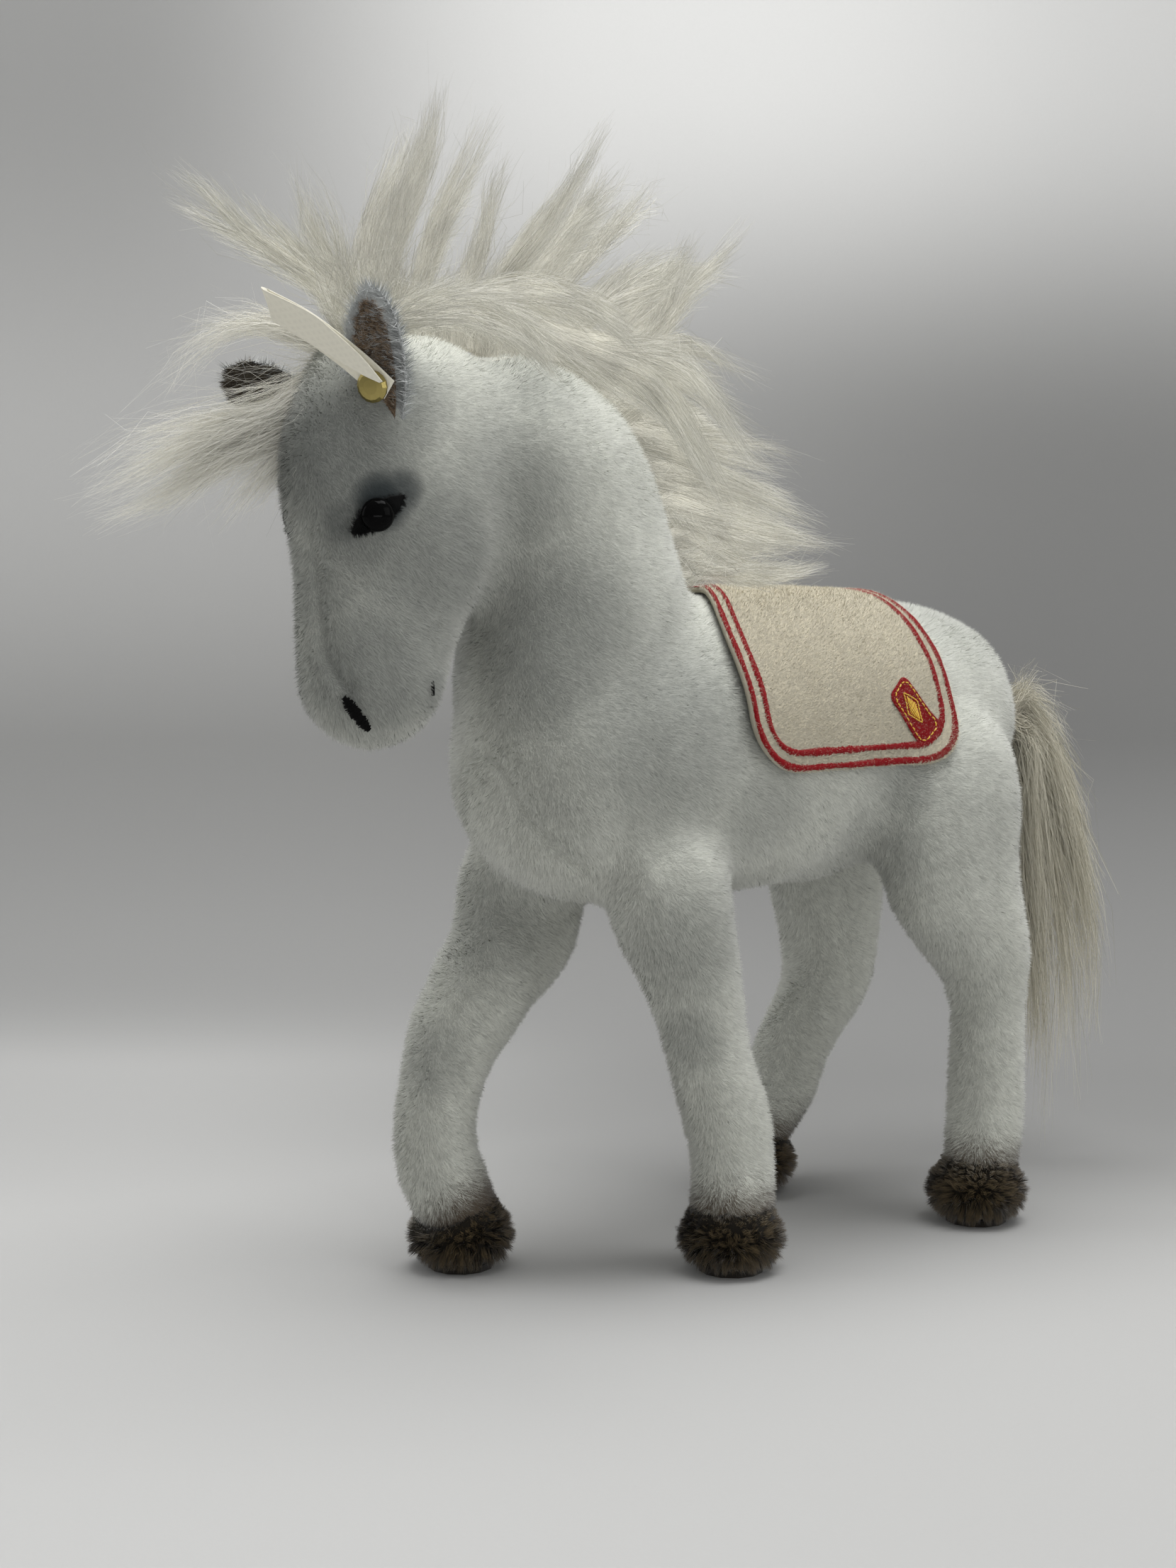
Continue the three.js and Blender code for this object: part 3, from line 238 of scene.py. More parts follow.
def maths(tree, operation, *values):
    return add_node(tree, "Math", dict(enumerate(values)), operation=operation).outputs[0]


def measured(tree, operation, *values):
    """The number that a sum on vectors gives, such as a distance."""
    return add_node(tree, "VectorMath", dict(enumerate(values)), operation=operation).outputs["Value"]


def scaled(tree, colour, amount):
    return add_node(tree, "VectorMath", {0: colour, "Scale": amount}, operation="SCALE").outputs[0]


def ranged(tree, value, low=0.0, high=1.0, first=0.0, last=1.0, way="LINEAR"):
    """A value that goes from first to last while another goes from low to high."""
    ends = {0: value, 1: low, 2: high, 3: first, 4: last}
    return add_node(tree, "MapRange", ends, interpolation_type=way).outputs[0]


def blended(tree, share, first, second):
    return add_node(tree, "Mix", {0: share, 6: first, 7: second}, data_type="RGBA").outputs[2]


def noise(tree, scale, detail, **more):
    return add_node(tree, "TexNoise", {"Scale": scale, "Detail": detail, **more}).outputs[0]


def attribute(tree, name):
    return add_node(tree, "Attribute", attribute_name=name).outputs["Fac"]


def object_place(tree):
    return add_node(tree, "TexCoord").outputs["Object"]


def new_surface(name, **sockets):
    """A material with one Principled shader, and that shader."""
    material = bpy.data.materials.new(name)
    material.use_nodes = True
    tree = material.node_tree
    tree.nodes.clear()
    values = {key.replace("_", " "): value for key, value in sockets.items()}
    shader = add_node(tree, "BsdfPrincipled", values)
    add_node(tree, "OutputMaterial", {"Surface": shader.outputs[0]})
    return material, tree, shader


def new_group(name, inputs, outputs):
    """A shader node group with named sockets, each given as a kind and, for an input, its usual value."""
    group = bpy.data.node_groups.new(name, "ShaderNodeTree")
    for socket, (kind, usual) in inputs.items():
        made = group.interface.new_socket(socket, in_out="INPUT", socket_type="NodeSocket" + kind)
        made.default_value = usual
    for socket, kind in outputs.items():
        group.interface.new_socket(socket, in_out="OUTPUT", socket_type="NodeSocket" + kind)
    return group, group.nodes.new("NodeGroupInput"), group.nodes.new("NodeGroupOutput")


def place_group(tree, group, values):
    """Puts a group into a tree, and gives its one output."""
    node = tree.nodes.new("ShaderNodeGroup")
    node.node_tree = group
    return fill(tree, node, values).outputs[0]


# Grey on the white pile: its place, radius in mm and strength. Part of it is airbrushed spray that the plush
# has, as round the eyes, and part is painted shade, where shadow falls on the face and cheek, under the jaw,
# on the lower neck and on the upper front legs. It is on both sides, but each spot low on a front leg is on
# that side only.
SPRAY_AND_SHADE_SPOTS = [
    ((19.3, -125.5, 227.5), 13, 1.0), ((21.0, -120.5, 230.0), 10, 0.9), ((14.5, -134.0, 222.0), 12, 0.7),
    ((17.0, -128.0, 224.0), 25, 0.56), ((10.0, -133.0, 238.0), 29, 0.58), ((19.0, -108.0, 212.0), 32, 0.52),
    ((7.0, -139.0, 205.0), 20, 0.38), ((14.0, -122.0, 252.0), 22, 0.46), ((13.0, -124.0, 182.0), 27, 0.52),
    ((16.8, -107.0, 177.3), 13, 0.5), ((19.0, -110.0, 192.0), 22, 0.46), ((15.5, -84.0, 230.0), 26, 0.36),
    ((6.0, -72.0, 262.0), 22, 0.22), ((9.0, -84.0, 205.0), 24, 0.34), ((24.0, -70.0, 190.0), 34, 0.42),
    ((38.0, -40.0, 165.0), 38, 0.38), ((30.0, -66.0, 150.0), 26, 0.14), ((40.0, -6.0, 138.0), 20, 0.25),
    ((45.0, 48.0, 143.0), 14, 0.28), ((37.0, 45.0, 124.0), 20, 0.25), ((38.0, 70.0, 135.0), 34, 0.16),
    ((0.0, 95.0, 190.0), 44, 0.24), ((43.0, 68.0, 96.0), 12, 0.1), ((-19.0, -84.0, 66.0), 14, 0.22),
    ((-18.0, -62.0, 106.0), 22, 0.24), ((33.0, -30.0, 74.0), 13, 0.28), ((34.0, -32.0, 104.0), 24, 0.3),
]
SPRAY_SHADE_FULL, SPRAY_SHADE_END = 0.2, 1.3
FRONT_LEG_TOP, FRONT_LEG_BACK = 110, -90


def spray_and_shade_mask(group):
    """Nodes that give how much grey a place has, from 0 to 1: airbrushed spray and painted shade."""
    place = object_place(group)
    parts = add_node(group, "SeparateXYZ", {0: place}).outputs
    aside = maths(group, "ABSOLUTE", parts[0])
    mirrored = add_node(group, "CombineXYZ", {0: aside, 1: parts[1], 2: parts[2]}).outputs[0]
    total = None
    for spot, radius, strength in SPRAY_AND_SHADE_SPOTS:
        one_side = spot[2] < FRONT_LEG_TOP and FRONT_LEG_BACK < spot[1] < 0
        centre = tuple(v * MM for v in spot)
        away = measured(group, "DISTANCE", place if one_side else mirrored, centre)
        none, full = radius * SPRAY_SHADE_END * MM, radius * SPRAY_SHADE_FULL * MM
        fade = ranged(group, away, none, full, 0.0, strength, "SMOOTHERSTEP")
        total = fade if total is None else maths(group, "MAXIMUM", total, fade)
    return total


# Each fibre's colour runs from its root to its tip, and the darker root is painted shade deep in the pile.
pile_colour, group_in, group_out = new_group(
    "pile_colour",
    {"Tip": ("Color", (0.8, 0.8, 0.8, 1)), "Shaded Root": ("Color", (0.5, 0.5, 0.5, 1)), "Patches": ("Float", 0.1),
     "Patch Size": ("Float", 12.0)},
    {"Color": "Color"})
tone = blended(pile_colour, attribute(pile_colour, "tip"), group_in.outputs["Shaded Root"], group_in.outputs["Tip"])
per_metre = maths(pile_colour, "DIVIDE", 1 / MM, group_in.outputs["Patch Size"])
texture = noise(pile_colour, per_metre, 3.0, Vector=object_place(pile_colour))
cloud = maths(pile_colour, "SUBTRACT", texture, 0.5)
strand = maths(pile_colour, "SUBTRACT", attribute(pile_colour, "shade"), 0.5)
uneven = maths(pile_colour, "ADD", cloud, strand)
gain = maths(pile_colour, "MULTIPLY_ADD", uneven, group_in.outputs["Patches"], 1.0)
pile_colour.links.new(scaled(pile_colour, tone, gain), group_out.inputs["Color"])

# The front right hoof is sewn on turned, so its white fetlock comes lower on its outer side.
turned_hoof = points_of(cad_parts["front_right_hoof"].data).mean(0)
OUTER_SIDE, TURNED_BY = (0.629, 0.777, 0.0), 0.7
fetlock_height, group_in, group_out = new_group("fetlock_height", {}, {"Height": "Float"})
place = object_place(fetlock_height)
height = add_node(fetlock_height, "SeparateXYZ", {0: place}).outputs[2]
both = {0: place, 1: tuple(turned_hoof)}
away = add_node(fetlock_height, "VectorMath", both, operation="SUBTRACT").outputs[0]
aside = measured(fetlock_height, "DOT_PRODUCT", away, OUTER_SIDE)
share = ranged(fetlock_height, measured(fetlock_height, "LENGTH", away), 36 * MM, 24 * MM, 0.0, -TURNED_BY)
raised = maths(fetlock_height, "MULTIPLY_ADD", aside, share, height)
fetlock_height.links.new(raised, group_out.inputs["Height"])

# Marks on the coat: grey that is airbrushed spray in some places and painted shade in others, and the brown
# of the hooves.
coat_marks_and_shade, group_in, group_out = new_group(
    "coat_marks_and_shade",
    {"Color": ("Color", (0.8, 0.8, 0.8, 1)), "Spray And Shade": ("Color", (0.3, 0.3, 0.3, 1)),
     "Hoof": ("Color", (0.1, 0.08, 0.05, 1))},
    {"Color": "Color"})
greyed = blended(coat_marks_and_shade, spray_and_shade_mask(coat_marks_and_shade), group_in.outputs["Color"], group_in.outputs["Spray And Shade"])
height = place_group(coat_marks_and_shade, fetlock_height, {})
uneven = maths(coat_marks_and_shade, "MULTIPLY_ADD", noise(coat_marks_and_shade, 150.0, 2.0), 8 * MM, height)
edge = maths(coat_marks_and_shade, "MULTIPLY_ADD", attribute(coat_marks_and_shade, "shade"), 7 * MM, uneven)
fetlock = ranged(coat_marks_and_shade, edge, 39 * MM, 24 * MM, way="SMOOTHSTEP")
browned = blended(coat_marks_and_shade, fetlock, greyed, group_in.outputs["Hoof"])
coat_marks_and_shade.links.new(browned, group_out.inputs["Color"])

PLUSH = {"Roughness": 0.9, "Sheen_Weight": 0.25, "Sheen_Roughness": 0.5, "Specular_IOR_Level": 0.15}
# One grey for the airbrushed spray and for the painted shade.
SPRAY_AND_SHADE_GREY = (0.055, 0.066, 0.068, 1)
HOOF_BROWN = (0.10, 0.078, 0.055, 1)


def pile_tone(tree, tip_colour, shaded_root_colour, patches, patch_size):
    """A colour that goes from root to tip of the pile, in patches of a size in mm. The darker root is painted
    shade.
    """
    values = {"Tip": (*tip_colour, 1), "Shaded Root": (*shaded_root_colour, 1),
              "Patches": patches, "Patch Size": patch_size}
    return place_group(tree, pile_colour, values)


def pile_material(name, tip_colour, shaded_root_colour, patches, patch_size, marked=False, **surface):
    """Plush, felt or hair, darker at the root as painted shade. The coat's is marked with the grey of spray
    and of painted shade, and with the brown of the hooves.
    """
    material, tree, shader = new_surface(name, **{**PLUSH, **surface})
    tone = pile_tone(tree, tip_colour, shaded_root_colour, patches, patch_size)
    if marked:
        tone = place_group(tree, coat_marks_and_shade, {"Color": tone, "Spray And Shade": SPRAY_AND_SHADE_GREY, "Hoof": HOOF_BROWN})
    tree.links.new(tone, shader.inputs["Base Color"])
    return material


backing = pile_material("white_plush_backing", (0.66, 0.67, 0.615), (0.56, 0.57, 0.52), 0.34, 3.2,
                        marked=True)
coat = add_object(coat_mesh, backing, COAT_NODES)

# Pile of the coat: about 2.5 mm long, soft and dense, brushed down and back, with small drifts where it has
# been handled. Each fibre is a fine blade, and the pile is kept in one piece for each part of the body.
def unit(vectors):
    return vectors / np.maximum(np.linalg.norm(vectors, axis=-1, keepdims=True), 1e-9)


def fur_mesh(name, corners, faces, normals, tips, shades, spots):
    """A mesh of many loose blades, with each corner's soft normal, its share of the fibre and its shade. The
    spots are the corners' places in the picture that the colours are kept in."""
    mesh = bpy.data.meshes.new(name)
    mesh.vertices.add(len(corners))
    mesh.vertices.foreach_set("co", corners.astype(np.float32).ravel())
    sides = faces.shape[1]
    mesh.loops.add(faces.size)
    mesh.loops.foreach_set("vertex_index", faces.astype(np.int32).ravel())
    mesh.polygons.add(len(faces))
    mesh.polygons.foreach_set("loop_start", np.arange(0, faces.size, sides, dtype=np.int32))
    mesh.update(calc_edges=True)
    for key, values in (("tip", tips), ("shade", shades)):
        mesh.attributes.new(key, "FLOAT", "POINT").data.foreach_set("value", values.astype(np.float32))
    layer = mesh.uv_layers.new(name="OFBake")
    layer.data.foreach_set("uv", spots[faces.ravel()].astype(np.float32).ravel())
    mesh.polygons.foreach_set("use_smooth", np.ones(len(faces), bool))
    mesh.attributes.new("custom_normal", "FLOAT_VECTOR", "POINT").data.foreach_set(
        "vector", normals.astype(np.float32).ravel())
    return mesh


def spread_spots(points):
    """Places in the picture for points on the horse: its left side in one half and its right in the other."""
    low, high = points.min(0), points.max(0)
    share = (points - low) / np.maximum(high - low, 1e-6)
    return np.stack([0.02 + 0.46 * share[:, 1] + 0.5 * (points[:, 0] < 0), 0.02 + 0.96 * share[:, 2]], 1)


# The spread of the fibres' lengths, leans and widths, as shares of the usual ones
PILE_LENGTHS, PILE_LEANS, PILE_WIDTHS = (0.72, 1.18), (0.6, 1.35), (0.7, 1.3)
PILE_ROLL, HANDLED = 0.4, 0.25
STRAY_SHARE, STRAY_LEAN = 0.08, 0.25
# How far a tuft's point lies past the tip of its middle fibre, and the spread of the pull, both as shares
TUFT_PAST, TUFT_PULLS = (-0.1, 0.35), (0.6, 1.1)
NORMAL_LEAN, NORMAL_SPREAD = 0.2, 0.1
ROOT_DEPTH, FLOOR_ROOM = 0.3 * MM, 0.2 * MM
SPOT = np.array([[-0.0006, 0], [0.0006, 0], [0, 0.0012]])


def grow_pile(name, mesh, kept, density, length, width, lean, nap, seed, uneven=0.25, thin=None,
              clump=None, pull=0.5):
    """Blades that grow from the kept faces of a skin. density is in fibres for each mm2, and nap is the way
    that they lean. thin gives each vertex's share of the length. clump is the spacing of the tufts that their
    tips are drawn into, and pull is how far."""
    rng = np.random.default_rng(seed)
    points, normals = points_of(mesh), normals_of(mesh)
    mesh.calc_loop_triangles()
    corners = rows_of(mesh.loop_triangles, "vertices", 3, np.int32)
    if kept is not None:
        corners = corners[kept[rows_of(mesh.loop_triangles, "polygon_index", 1, np.int32)[:, 0]]]
    a, b, c = (points[corners[:, k]] for k in range(3))
    area = np.linalg.norm(np.cross(b - a, c - a), axis=1) / 2
    count = int(area.sum() / MM ** 2 * density)
    pick = rng.choice(len(corners), count, p=area / area.sum())
    share = rng.random((count, 2))
    share[share.sum(1) > 1] = 1 - share[share.sum(1) > 1]
    weights = np.stack([1 - share.sum(1), share[:, 0], share[:, 1]], 1)[:, :, None]
    root = (points[corners[pick]] * weights).sum(1)
    out = unit((normals[corners[pick]] * weights).sum(1))
    size = length * rng.uniform(*PILE_LENGTHS, count)
    if thin is not None:
        size *= (thin[corners[pick]][:, :, None] * weights).sum(1)[:, 0]
    way = nap(root) + HANDLED * drift(root) + rng.normal(size=(count, 3)) * uneven
    way = unit(way - (way * out).sum(1, keepdims=True) * out)
    leaning = rng.uniform(*PILE_LEANS, count)
    stray = rng.random(count) < STRAY_SHARE
    angle = lean * leaning * np.where(stray, STRAY_LEAN, 1.0)
    reach = out * np.cos(angle)[:, None] + way * np.sin(angle)[:, None]
    across = np.cross(out, way)
    roll = rng.normal(0, PILE_ROLL, count)[:, None]
    across = across * np.cos(roll) + np.cross(reach, across) * np.sin(roll)
    half = across * (width / 2) * rng.uniform(*PILE_WIDTHS, count)[:, None]
    foot = root - out * ROOT_DEPTH
    tips = root + reach * size[:, None]
    if clump:
        heads = rng.choice(count, max(2, int(area.sum() / clump ** 2)), replace=False)
        near = KDTree(len(heads))
        for n, head in enumerate(heads):
            near.insert(root[head], n)
        near.balance()
        tuft = np.array([near.find(place)[1] for place in root])
        ends = tips[heads] + reach[heads] * (size[heads] * rng.uniform(*TUFT_PAST, len(heads)))[:, None]
        tips += (ends[tuft] - tips) * (pull * rng.uniform(*TUFT_PULLS, count))[:, None]
    tips[:, 2] = np.maximum(tips[:, 2], FLOOR_ROOM)
    blades = np.stack([foot - half, foot + half, tips], 1)
    blade_way = np.cross(blades[:, 1] - blades[:, 0], blades[:, 2] - blades[:, 0])
    turned = (blade_way * out).sum(1) < 0
    blades[turned] = blades[turned][:, [1, 0, 2]]
    soft = unit(out + NORMAL_LEAN * reach + rng.normal(size=(count, 3)) * NORMAL_SPREAD)
    spots = spread_spots(root)[:, None, :] + SPOT[None]
    return fur_mesh(name, blades.reshape(-1, 3), np.arange(count * 3).reshape(-1, 3), np.repeat(soft, 3, 0),
                    np.tile([0.0, 0.0, 1.0], count), np.repeat(rng.random(count), 3), spots.reshape(-1, 2))


def add_pile(name, skin, kept, material, slot, shadow=True, **growth):
    """Grows pile on the kept faces of a skin, and puts it into the scene."""
    pile = add_object(grow_pile(name, skin, kept, **growth), material)
    pile.visible_shadow = shadow
    return pile


BRUSHED, PARTED_WIDTH, PARTED_PUSH = np.array([0.0, 0.8, -1.0]), 1.6 * SEAM_WIDTH, 2.5


def brushed(points):
    """Down and back, and away from the seams."""
    return BRUSHED + seam_push(points, PARTED_WIDTH) * PARTED_PUSH


def tree_of(mesh):
    return BVHTree.FromPolygons([v.co for v in mesh.vertices], [p.vertices for p in mesh.polygons])


TORSO_SPLIT, COVERED_BELOW, SEAM_SHORTER = 22 * MM, 12 * MM, 0.93
centres = [Vector(polygon.center) for polygon in coat_mesh.polygons]
node_trees = [tree_of(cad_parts[name].data) for name in COAT_NODES]
nearest = np.array([[tree.find_nearest(centre)[3] for centre in centres] for tree in node_trees]).argmin(0)
front = np.array([centre.y < TORSO_SPLIT for centre in centres])
covered = np.array([centre.z < COVERED_BELOW for centre in centres])
regions = {name: (nearest == k) & ~covered for k, name in enumerate(COAT_NODES)}
regions["torso_front"] = regions["torso"] & front
regions["torso_rear"] = regions.pop("torso") & ~front

pile_white = pile_material("white_pile", (0.71, 0.72, 0.655), (0.60, 0.61, 0.555), 0.34, 3.2, marked=True)
# The coat's pile casts no shadows, and the shade deep in it is painted as the fibres' darker roots.
for seed, (name, kept) in enumerate(regions.items()):
    add_pile(name + "_pile", coat_mesh, kept, pile_white, "white_plush", shadow=False,
             density=7.5, width=0.28 * MM,
             length=2.5 * MM, lean=0.85, nap=brushed, seed=seed, uneven=0.4,
             thin=1 - SEAM_SHORTER * seam_mask, clump=2.8 * MM, pull=0.22 if "leg" in name else 0.1)

# Hooves: balls of brown plush, stuffed and sewn to the ends of the legs. Their pile stands out all round and
# mixes with the white pile of the fetlock.
HOOVES = ["front_left_hoof", "front_right_hoof", "hind_left_hoof", "hind_right_hoof"]

hoof_plush, tree, shader = new_surface("brown_plush", **{**PLUSH, "Sheen_Weight": 0.2})
tone = pile_tone(tree, (0.135, 0.098, 0.050), (0.011, 0.008, 0.004), 0.7, 9.0)
height = place_group(tree, fetlock_height, {})
edge = maths(tree, "MULTIPLY_ADD", attribute(tree, "shade"), 8 * MM, height)
pale = ranged(tree, edge, 20 * MM, 33 * MM, 0.0, 0.85, "SMOOTHSTEP")
tree.links.new(blended(tree, pale, tone, (0.52, 0.49, 0.42, 1)), shader.inputs["Base Color"])


def faces_where(mesh, test):
    """Which faces of a mesh pass a test."""
    return np.array([test(face) for face in mesh.polygons])


def faces_away_from(mesh, tree, room):
    """Which faces of a mesh are further than room from another surface."""
    return faces_where(mesh, lambda face: tree.find_nearest(face.center)[3] > room)


def outward(points):
    """Straight out of the skin, but for small drifts."""
    return drift(points * 2) * 0.5


HANG, HANG_BELOW, HANG_FADE = np.array([0, 0, 2.5]), 9 * MM, 5 * MM


def hanging(points):
    """Straight out, and down over the edge of the sole."""
    low = np.clip((HANG_BELOW - points[:, 2:]) / HANG_FADE, 0, 1)
    return outward(points) - HANG * low


BLEND_FROM, BLEND_TO, BLEND_DEPTH = 11 * MM, 24 * MM, 0.4 * MM
coat_tree = tree_of(coat_mesh)


def drawn_in(mesh):
    """Draws the top of a hoof's skin in to the leg, so that the ball runs into the fetlock without a lip."""
    for vertex in mesh.vertices:
        share = min(max((vertex.co.z - BLEND_FROM) / (BLEND_TO - BLEND_FROM), 0), 1)
        place, normal, _, _ = coat_tree.find_nearest(vertex.co)
        vertex.co = vertex.co.lerp(place - normal * BLEND_DEPTH, share * share * (3 - 2 * share))
    mesh.update()


# Pile stands where the skin looks out of the leg, and not under the sole. It is shorter towards the fetlock.
LOOKS_OUT, SOLE_LOOKS = 0.2, -0.93
SHORTER_FROM, SHORTER_RUN, SHORTEST = 9 * MM, 16 * MM, 0.45
for seed, name in enumerate(HOOVES):
    skin = soft_skin(name + "_skin", [name], voxel=1.1 * MM, swell=0.3 * MM, rounds=16, inset=1.9 * MM)
    drawn_in(skin)
    add_object(skin, hoof_plush, [name])
    shown = faces_where(skin, lambda face: face.center.z < BLEND_FROM
                        or not coat_tree.find_nearest(face.center)[1] @ face.normal < LOOKS_OUT)
    shown &= faces_where(skin, lambda face: face.normal.z > SOLE_LOOKS)
    shorter = np.clip(1 - (points_of(skin)[:, 2] - SHORTER_FROM) / SHORTER_RUN, SHORTEST, 1)
    add_pile(name + "_pile", skin, shown, hoof_plush, "hoof_plush", density=11.0, length=4.3 * MM,
             width=0.25 * MM, lean=0.5, nap=hanging, seed=40 + seed, uneven=0.5, thin=shorter,
             clump=1.7 * MM, pull=0.6)

# Ears: a grey plush back and a brown plush lining, sewn as a cup and turned. The left stands up and holds the
# rivet, and the right lies out to the side under the forelock.
EARS = {"left": ((0.14, -0.2, 0.9698), (0.4786, -0.8437, -0.243)),
        "right": ((-0.8225, -0.3701, 0.4318), (0.4632, -0.8765, 0.1311))}
# The right ear's lining is the same brown plush as the left's, coloured near-black as painted shade where it
# lies under the forelock.
SHADED_LINING_TIP, SHADED_LINING_ROOT = (0.085, 0.070, 0.048), (0.030, 0.024, 0.017)

grey_plush = pile_material("grey_plush", (0.58, 0.60, 0.59), (0.46, 0.475, 0.47), 0.3, 4.0)
LININGS = {"left": pile_material("lining_plush", (0.37, 0.27, 0.18), (0.15, 0.10, 0.06), 0.7, 5.0),
           "right": pile_material("lining_plush_painted_shade", SHADED_LINING_TIP, SHADED_LINING_ROOT, 0.6, 3.0)}
# The right lining is swelled further, so that its painted shade spreads over the rim.
LINING_SWELL = {"left": 0.2 * MM, "right": 1.1 * MM}
LINING_ROOM, RIM_ROOM, LOOKS_BACK, LOOKS_FRONT = 0.9 * MM, 2.6 * MM, -0.4, 0.1

for seed, (side, (along, out)) in enumerate(EARS.items()):
    name = side + "_ear"
    lining_tree = tree_of(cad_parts[name + "_lining"].data)
    skin = soft_skin(name + "_skin", [name], voxel=0.7 * MM, swell=0.2 * MM, rounds=6, inset=0.9 * MM)
    add_object(skin, grey_plush, [name])
    shown = faces_away_from(skin, lining_tree, LINING_ROOM)
    behind = faces_where(skin, lambda face, out=Vector(out): face.normal @ out < LOOKS_BACK)
    if side == "right":
        shown &= behind | faces_away_from(skin, lining_tree, RIM_ROOM)

    def towards_tip(points, along=along):
        return np.tile(np.array(along), (len(points), 1))

    add_pile(name + "_pile", skin, shown, grey_plush, "grey_plush", shadow=False, density=12.0,
             length=4.4 * MM, width=0.24 * MM, lean=0.6, nap=towards_tip, seed=50 + seed, uneven=0.5,
             clump=1.6 * MM, pull=0.2)
    inner = soft_skin(name + "_lining_skin", [name + "_lining"], voxel=0.5 * MM, swell=LINING_SWELL[side],
                      rounds=5, inset=0.2 * MM)
    add_object(inner, LININGS[side], [name + "_lining"])
    facing = faces_where(inner, lambda face, out=Vector(out): face.normal @ out > LOOKS_FRONT)
    add_pile(name + "_lining_pile", inner, facing, LININGS[side], "brown_plush", density=14.0,
             length=2.0 * MM, width=0.22 * MM, lean=0.75, nap=towards_tip, seed=60 + seed, uneven=0.8,
             clump=1.5 * MM, pull=0.5)
    # Near-black pile on the right ear's rim round its lining: painted shade.
    if side == "right":
        add_pile(name + "_rim_pile", skin, ~(shown | behind), LININGS[side], "brown_plush", density=14.0,
                 length=3.0 * MM, width=0.24 * MM, lean=0.7, nap=towards_tip, seed=64, uneven=0.6,
                 clump=1.5 * MM, pull=0.4)

# Eyes: polished black domes, each on a stem that a lock washer holds inside the head. The stem goes through
# an almond of black felt, which lies on the plush under the dome.
EYE_PLACE, EYE_OUT = (18.2, -126.8, 223.8), (0.911, -0.4089, -0.0541)
EYE_RADIUS, EYE_BULGE, EYE_BASE = 4.5 * MM, 3.4 * MM, 1.9 * MM
EYE_STEM, EYE_STEP, EYE_RIM = 1.2 * MM, 0.2 * MM, 0.3 * MM
EYE_SIDES, EYE_RINGS = 48, 13


def toned_surface(name, colour, low, high, texture, kind="TexNoise", span=(0.0, 1.0), **surface):
    """A material whose colour is scaled between two tones, low and high, by a texture."""
    material, tree, shader = new_surface(name, **surface)
    tone = ranged(tree, add_node(tree, kind, texture).outputs[0], *span, low, high)
    tree.links.new(scaled(tree, colour, tone), shader.inputs["Base Color"])
    return material


WHITE = (1, 1, 1)
eye_gloss = toned_surface("black_gloss", WHITE, 0.001, 0.004, {"Scale": 700.0, "Detail": 3.0}, Roughness=0.05,
                          IOR=1.25, Specular_IOR_Level=0.12)


def closed_mesh(name, corners, faces):
    """A mesh whose faces are all turned outward."""
    mesh = bpy.data.meshes.new(name)
    mesh.from_pydata(corners, [], faces)
    shape = bmesh.new()
    shape.from_mesh(mesh)
    bmesh.ops.recalc_face_normals(shape, faces=shape.faces)
    shape.to_mesh(mesh)
    shape.free()
    return mesh


def lathe_mesh(name, place, axis, profile, sides):
    """A closed turned form. The profile is a list of radius and height along the axis, from pole to pole."""
    axis = Vector(axis).normalized()
    across = axis.orthogonal().normalized()
    other = axis.cross(across)
    corners, faces, rings = [], [], []
    for radius, height in profile:
        middle = Vector(place) + axis * height
        if radius == 0:
            rings.append([len(corners)])
            corners.append(middle)
            continue
        rings.append(list(range(len(corners), len(corners) + sides)))
        corners += [middle + (across * math.cos(t) + other * math.sin(t)) * radius
                    for t in np.linspace(0, 2 * math.pi, sides, endpoint=False)]
    for low, high in zip(rings[:-1], rings[1:]):
        for k in range(sides):
            n = (k + 1) % sides
            ring = [low[k % len(low)], low[n % len(low)], high[n % len(high)], high[k % len(high)]]
            faces.append(list(dict.fromkeys(ring)))
    return closed_mesh(name, corners, faces)


def on_side(vector, side):
    return np.array(vector, float) * (1 if side == "left" else -1, 1, 1)


for side in ("left", "right"):
    place, out = on_side(EYE_PLACE, side) * MM, on_side(EYE_OUT, side)
    foot = ((points_of(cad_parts[side + "_eye"].data) - place) @ out).min()
    shoulder = EYE_BASE - EYE_STEP
    profile = [(0, foot), (EYE_STEM, foot), (EYE_STEM, shoulder), (EYE_RADIUS - EYE_RIM, shoulder)]
    profile += [(EYE_RADIUS * math.cos(t), EYE_BASE + EYE_BULGE * math.sin(t))
                for t in np.linspace(0, math.pi / 2, EYE_RINGS)[:-1]]
    profile.append((0, EYE_BASE + EYE_BULGE))
    eye = lathe_mesh(side + "_eye_dome", place, out, profile, EYE_SIDES)
    add_object(eye, eye_gloss, [side + "_eye"])

